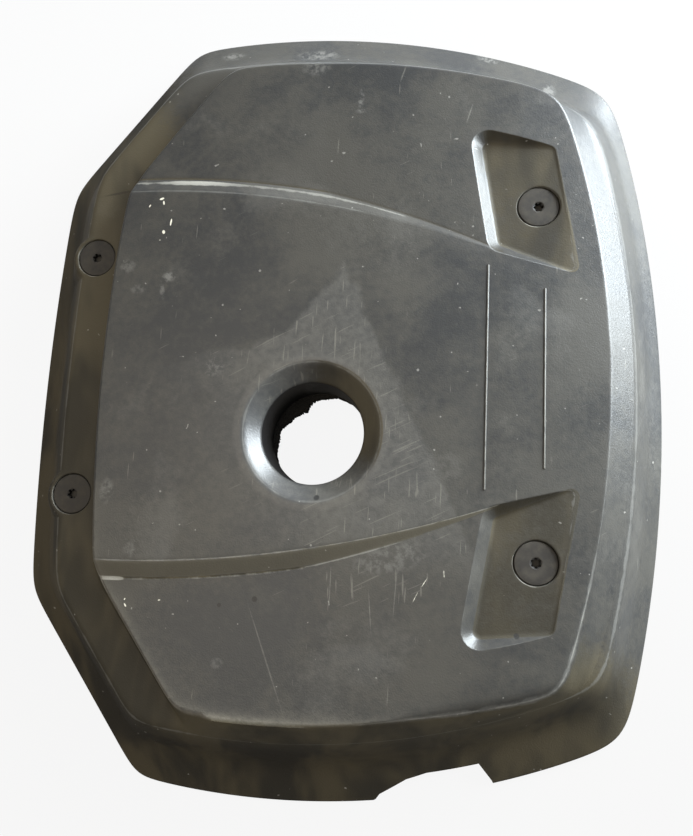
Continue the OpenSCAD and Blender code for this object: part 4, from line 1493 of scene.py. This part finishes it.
def screw_solid():
    """One screw, with the moulding's surface round it at height zero."""
    neck_z = HEAD_BASE - HUB_H
    thread_z = neck_z - NECK_L
    tip_z = thread_z - THREAD_L
    profile = [(0.01, -HEAD_SINK), (4.2, -HEAD_SINK), (9.0, -HEAD_SINK)]
    profile += arc((HEAD_R - 0.6, -HEAD_SINK - 0.6), 0.6, 90, 0)
    profile += arc((HEAD_R - 0.3, HEAD_BASE + 0.3), 0.3, 0, -90, 3)
    profile += [(HUB_R, HEAD_BASE), (HUB_R, neck_z), (NECK_R, neck_z), (NECK_R, thread_z)]
    profile += [(THREAD_R, z) for z in np.arange(thread_z, tip_z, -0.125)]
    profile += [(THREAD_R, tip_z), (THREAD_R - 1, tip_z - 1), (0.01, tip_z - 1)]
    screw = turned("screw", profile[::-1], count=72)
    grown(
        screw, thread_tree(), Pitch=THREAD_PITCH * MM, Depth=0.6 * MM,
        Top=(thread_z - 0.3) * MM, Bottom=(tip_z + 0.1) * MM,
    )
    face_outwards(screw)
    lobe_r, base = 0.13 * SOCKET_D, -HEAD_SINK - SOCKET_DEPTH
    lobes = [(SOCKET_D / 2 - lobe_r, k * math.pi / 3) for k in range(6)]
    lobes = points_object("lobes", [(d * math.cos(a), d * math.sin(a), base) for d, a in lobes])
    tall = (SOCKET_DEPTH + 1) * MM
    cutter = grown(lobes, posts, Width=lobe_r * MM, Height=tall)
    core = grown(points_object("core", [(0, 0, base)]), posts, Width=0.36 * SOCKET_D * MM, Height=tall)
    boolean(screw, boolean(core, cutter, "UNION", "EXACT"))
    mouth = [(SOCKET_D / 2 - 0.7, -HEAD_SINK - 0.7), (SOCKET_D / 2 + 0.5, -HEAD_SINK + 0.3)]
    return boolean(screw, face_outwards(turned("mouth", mouth)))


def placed(source, name, place, angle=0.0):
    """A copy of a mesh with its points turned and moved to a place, and the object left at the origin."""
    mesh = source.data.copy()
    mesh.transform(Matrix.Translation(Vector(place) * MM) @ Matrix.Rotation(angle, 4, "Z"))
    obj = bpy.data.objects.new(name, mesh)
    bpy.context.scene.collection.objects.link(obj)
    return obj


def dressed(obj, node, material):
    """Gives a finished piece its material, ties it to the root body and hides the solid that it stands for.
    """
    obj.data.materials.clear()
    obj.data.materials.append(material)
    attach(obj, "root")
    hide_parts(node)
    return obj


screw = screw_solid()
print("screw", len(screw.data.polygons), "faces, open edges and cm3", closed_check(screw))

# %% [markdown]
# ## Bushes, sleeves and retainers
# These are turned too. A retainer also has slots that part it into teeth, cut by boxes that a node
# tree sets round its middle. Each piece is made once, at the origin, and copied to its places.

# %% Turned parts


def bush_solid():
    """The rubber bush that holds a screw in the moulding."""
    inner, waist, flange, bulb = HUB_R + SLIP, SEAT_HOLE_R - SLIP, 12.0, 11.0
    foot_r = 4.9 + SLIP
    profile = [(inner, HEAD_BASE)]
    profile += arc((flange - 0.5, HEAD_BASE - 0.5), 0.5, 90, 0, 4)
    profile += [(flange, -SEAT_DEPTH), (waist, -SEAT_DEPTH), (waist, -PLATE_Z)]
    profile += [(bulb - 0.5, -PLATE_Z)] + arc((bulb - 0.7, -PLATE_Z - 0.9), 0.7, 60, 0, 4)
    profile += [(bulb, -PLATE_Z - 2), (SEAT_HOLE_R + 0.6, BUSH_FOOT + 0.6), (SEAT_HOLE_R, BUSH_FOOT)]
    profile += [(foot_r, BUSH_FOOT), (foot_r, HEAD_BASE - HUB_H), (inner, HEAD_BASE - HUB_H)]
    return face_outwards(turned("bush", profile, ring_shape=True))


def sleeve_solid():
    """The steel sleeve between the screw's hub and the engine."""
    bore, outer, flange = THREAD_R + 0.3, 4.9, 7.5
    top = HEAD_BASE - HUB_H
    profile = [(bore, top - 0.3), (bore + 0.3, top), (outer, top), (outer, BUSH_FOOT)]
    profile += [(flange - 0.2, BUSH_FOOT), (flange, BUSH_FOOT - 0.2), (flange, BUSH_FOOT - 0.8)]
    profile += [(flange - 0.2, BUSH_FOOT - 1), (bore, BUSH_FOOT - 1)]
    return face_outwards(turned("sleeve", profile, ring_shape=True))


def retainer_solid():
    """The push-on retainer: a dished washer with six teeth."""
    inner, bend, outer, t = 2.6, 4.5, 9.0, 0.8
    profile = [(inner, -t - 0.8), (bend, -t), (outer - 0.2, -t), (outer, -t + 0.2), (outer, -0.2)]
    profile += [(outer - 0.2, 0), (bend, 0), (inner, -0.8)]
    washer = face_outwards(turned("retainer", profile, count=96, ring_shape=True))
    pair = points_object("slots", [(1.7, 0, -3), (-1.7, 0, -3)])
    slots = grown(pair, boxes, Length=5 * MM, Width=0.7 * MM, Height=6 * MM)
    for k in range(3):
        boolean(washer, placed(slots, "slot", (0, 0, 0), k * math.pi / 3))
    bpy.data.objects.remove(slots)
    return washer


bush, sleeve, retainer = bush_solid(), sleeve_solid(), retainer_solid()
for obj in (bush, sleeve, retainer):
    print(obj.name, len(obj.data.polygons), "faces", closed_check(obj))

# %% [markdown]
# ## The foam pad
# The pad is cut from sheet foam by hand, so its edge is a little uneven and torn round the filler
# opening. It is triangulated like the skin: its outline and holes are lines, and a loose grid fills
# the rest. Points near an edge are drawn towards the middle of the sheet, which rounds it.

# %% Foam pad
PAD_INSET, PAD_HOLE_R, PIN_HOLE_R = 48.0, 21.0, 2.6


def torn_edge(count=240):
    """The torn hole round the filler opening, ragged on its upper left."""
    a = np.arange(count) * 2 * math.pi / count
    side = np.maximum(0, np.cos(a - math.radians(132)))
    rag = np.sin(5 * a) + 0.7 * np.sin(11 * a + 0.7)
    fine = np.random.default_rng(4).normal(0, 0.28, count)
    r = TUBE_R + 1 - 9 * side**2 + (1.3 * rag + fine * 1.6) * side
    return OPENING + r[:, None] * np.stack((np.cos(a), np.sin(a)), 1)


def inside_loop(p, loop):
    """True for points inside a closed outline, counted by crossings."""
    inside = np.zeros(len(p), bool)
    for a, b in zip(loop, np.roll(loop, -1, axis=0)):
        crosses = (a[1] > p[:, 1]) != (b[1] > p[:, 1])
        if crosses.any():
            x = a[0] + (p[:, 1] - a[1]) / (b[1] - a[1] + 1e-12) * (b[0] - a[0])
            inside ^= crosses & (p[:, 0] < x)
    return inside


def loop_distance(p, loops):
    """Distance to the nearest point of any loop."""
    every = np.concatenate(loops)
    return np.array([np.min(np.hypot(*(every - q).T)) for q in p])


def drawn_in(loop, width):
    """A loop moved towards the opening by a width."""
    v = loop - OPENING
    return OPENING + v * (1 - width / np.linalg.norm(v, axis=1))[:, None]


def foam_solid():
    """The pad as a closed sheet with rounded, uneven edges."""
    random = np.random.default_rng(9)
    rim = ring((PAD_INSET,) * 4, 420)
    rim = OPENING + (rim - OPENING) * (1 - np.abs(random.normal(0, 0.0012, 420)))[:, None]
    torn = torn_edge()
    holes = [torn] + [circle(place, PAD_HOLE_R, 72) for place in SCREW_PLACES.values()]
    holes += [circle(place, PIN_HOLE_R, 24) for place in PIN_PLACES]
    sheet = Plan()
    for loop in [rim, *holes]:
        sheet.line(loop, closed=True)
    for w in (0.7, 1.8, 3.4):
        sheet.line(drawn_in(rim, w), closed=True)
        sheet.line(drawn_in(torn, -w), closed=True)
        for place in SCREW_PLACES.values():
            sheet.line(circle(place, PAD_HOLE_R + w, 72), closed=True)
    grid = np.array([(x, y) for x in np.arange(-180, 181, 4.0) for y in np.arange(-236, 237, 4.0)])
    grid = grid + random.uniform(-1.2, 1.2, grid.shape)
    sheet.scatter(grid[loop_distance(grid, [rim, *holes]) > 4.5])

    def on_pad(p):
        return inside_loop(p, rim) & ~np.logical_or.reduce([inside_loop(p, loop) for loop in holes])

    p, triangles = triangulated(sheet, on_pad)
    full = np.sqrt(1 - np.clip(1 - loop_distance(p, [rim, *holes]) / 3.5, 0, 1) ** 2)
    half = PAD_T / 2 * (0.6 + 0.4 * full)
    middle = PAD_Z + PAD_T / 2
    top = middle + half - random.uniform(0, 0.35, len(p))
    bottom = middle - half + random.uniform(0, 0.35, len(p))
    return face_outwards(slab("torn_foam_pad", p, triangles, top, bottom))


pad = foam_solid()
print("pad", len(pad.data.polygons), "faces", closed_check(pad), round(time.time() - started, 1), "s")

# %% [markdown]
# ## Materials of the small pieces
# The screw heads are black steel under a film of the same brown dust as the floors round them,
# with painted shade, near black, in the socket's mouth. Rubber is dark and dull, zinc steel is bright
# and cloudy, and foam is nearly black with open cells that only a strong bump can show.

# %% Small materials


def make_screw_steel():
    material, w, shader, place = new_material("dusty_black_steel", Specular_IOR_Level=0.3)
    dust = w.span(w.noise(place, 160.0, 5.0, 0.6), 0.35, 0.7)
    colour = w.blend(dust, (0.033, 0.029, 0.025, 1), (0.056, 0.049, 0.039, 1))
    # The socket's mouth is painted near black: painted shade.
    socket_shade = w.span(w.times(attribute(w, "mouth"), w.plus(w.noise(place, 900.0, 3.0), 0.35)), 0.4, 0.7)
    colour = w.blend(w.times(socket_shade, 0.9), colour, (0.012, 0.011, 0.010, 1))
    w.feed(shader.inputs["Base Color"], colour)
    w.feed(shader.inputs["Roughness"], w.span(dust, 0.0, 1.0, 0.58, 0.74))
    grain = use(w, GRAIN, Vector=place, Scale=1500.0)["Height"]
    w.feed(shader.inputs["Normal"], w.bump(grain, 0.2, 0.0002))
    return material


def make_rubber():
    material, w, shader, place = new_material("bush_rubber", Roughness=0.72)
    bloom = w.span(w.noise(place, 120.0, 4.0, 0.6), 0.4, 0.75)
    w.feed(shader.inputs["Base Color"], w.blend(bloom, (0.016, 0.016, 0.016, 1), (0.045, 0.043, 0.04, 1)))
    return material


def make_zinc(name, light, dark):
    material, w, shader, place = new_material(name, Metallic=0.95)
    cloudy = w.span(w.noise(place, 260.0, 4.0, 0.6), 0.35, 0.68)
    w.feed(shader.inputs["Base Color"], w.blend(cloudy, light, dark))
    w.feed(shader.inputs["Roughness"], w.span(cloudy, 0.0, 1.0, 0.28, 0.52))
    return material


def make_foam():
    material, w, shader, place = new_material("open_black_foam", Roughness=0.95, Specular_IOR_Level=0.2)
    cells = w.node("ShaderNodeTexVoronoi", Vector=place, Scale=900.0).outputs["Distance"]
    cloud = w.noise(place, 30.0, 3.0, 0.6)
    w.feed(shader.inputs["Base Color"], w.blend(cloud, (0.012, 0.011, 0.010, 1), (0.035, 0.032, 0.028, 1)))
    w.feed(shader.inputs["Normal"], w.bump(cells, 0.8, 0.0008))
    return material


steel, rubber, foam = make_screw_steel(), make_rubber(), make_foam()
zinc = make_zinc("zinc_steel", (0.62, 0.62, 0.6, 1), (0.36, 0.35, 0.33, 1))
spring = make_zinc("spring_steel", (0.5, 0.5, 0.48, 1), (0.28, 0.26, 0.24, 1))

mouth = np.linalg.norm(coordinates(screw)[:, :2], axis=1)
store(screw, "mouth", np.clip(1 - np.abs(mouth - 2.8) / 1.6, 0, 1))
for obj in (screw, bush, sleeve, retainer):
    smooth(obj, 40.0)
for name, (x, y) in SCREW_PLACES.items():
    at = (x, y, screw_floor(name))
    dressed(placed(screw, name + "_disc_screw", at, SCREW_TURNS[name]), name + "_screw", steel)
    dressed(placed(bush, name + "_rubber_bush", at), name + "_bush", rubber)
    dressed(placed(sleeve, name + "_steel_sleeve", at), name + "_sleeve", zinc)
for k, (x, y) in enumerate(PIN_PLACES):
    node = f"retainer_{k + 1}"
    dressed(placed(retainer, f"toothed_retainer_{k + 1}", (x, y, PAD_Z), 0.4 * k), node, spring)
for obj in (screw, bush, sleeve, retainer):
    bpy.data.objects.remove(obj)
smooth(pad, 60.0)
dressed(pad, "foam_pad", foam)
print("small pieces done", round(time.time() - started, 1), "s")

# %% [markdown]
# ## Daylight from a window
# The cover lies on white paper in a room, with a window in front of it and to its left. A large
# soft lamp stands in for the window, a weak warm one for the room, and the sky fills the shadows.
# The paper shows as plain white to the camera and still catches the shadow of the cover.

# %% Light


def area_light(name, place, aim, size, power, colour):
    """A soft oblong lamp at a place, turned towards a point."""
    data = bpy.data.lights.new(name, "AREA")
    data.shape = "RECTANGLE"
    data.size, data.size_y = size
    data.energy = power
    data.color = colour
    lamp = bpy.data.objects.new(name, data)
    bpy.context.scene.collection.objects.link(lamp)
    lamp.location = place
    lamp.rotation_euler = (Vector(aim) - Vector(place)).to_track_quat("-Z", "Y").to_euler()
    return lamp


area_light("window", (1.13, 0.74, 0.41), (0.05, 0.04, 0.04), (1.1, 0.72), 84, (0.85, 0.94, 1.0))
area_light("room", (-0.55, -0.15, 1.45), (0, 0, 0.03), (1.3, 1.3), 9.5, (1.0, 0.88, 0.70))
world = bpy.data.worlds.new("studio")
world.use_nodes = True
sky = Wiring(world.node_tree)
background = world.node_tree.nodes["Background"]
direction = sky.node("ShaderNodeTexCoord").outputs["Generated"]
height_up = sky.node("ShaderNodeSeparateXYZ", Vector=direction).outputs["Z"]
overhead = sky.span(height_up, 0.0, 0.95, 0.12, 0.38)
bright_side = sky.span(sky.dot(direction, (0.55, 0.82, 0.1)), 0.4, 0.95, 0.0, 1.8)
sky.feed(background.inputs["Strength"], sky.plus(overhead, bright_side))
background.inputs["Color"].default_value = (0.82, 0.86, 0.9, 1)
bpy.context.scene.world = world


def make_paper():
    material, w, shader, place = new_material("floor_paper", Roughness=0.8)
    across = w.node("ShaderNodeSeparateXYZ", Vector=place).outputs["Y"]
    # Towards -Y the paper is darker: painted shade in what the cover reflects and catches from there; the
    # camera still sees white.
    shade = w.span(w.plus(across, w.times(w.noise(place, 30.0, 3.0), 0.02)), -0.35, 0.3)
    w.feed(shader.inputs["Base Color"], w.blend(shade, (0.20, 0.19, 0.18, 1), (0.46, 0.46, 0.46, 1)))
    shown = w.node("ShaderNodeEmission", Color=(1, 1, 1, 1), Strength=1.0).outputs[0]
    camera_ray = w.times(w.node("ShaderNodeLightPath").outputs["Is Camera Ray"], 0.9)
    mix = w.node("ShaderNodeMixShader", _0=camera_ray, _1=shader.outputs[0], _2=shown)
    w.tree.links.new(mix.outputs[0], w.tree.nodes["Material Output"].inputs["Surface"])
    return material


floor = mesh_object(
    "floor", [(-3000, -3000, 0), (3000, -3000, 0), (3000, 3000, 0), (-3000, 3000, 0)], [(0, 1, 2, 3)]
)
floor.data.materials.append(make_paper())
bpy.context.scene.view_settings.view_transform = "Standard"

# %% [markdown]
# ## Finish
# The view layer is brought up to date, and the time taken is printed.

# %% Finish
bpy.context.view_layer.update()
print("all done", round(time.time() - started, 1), "s")
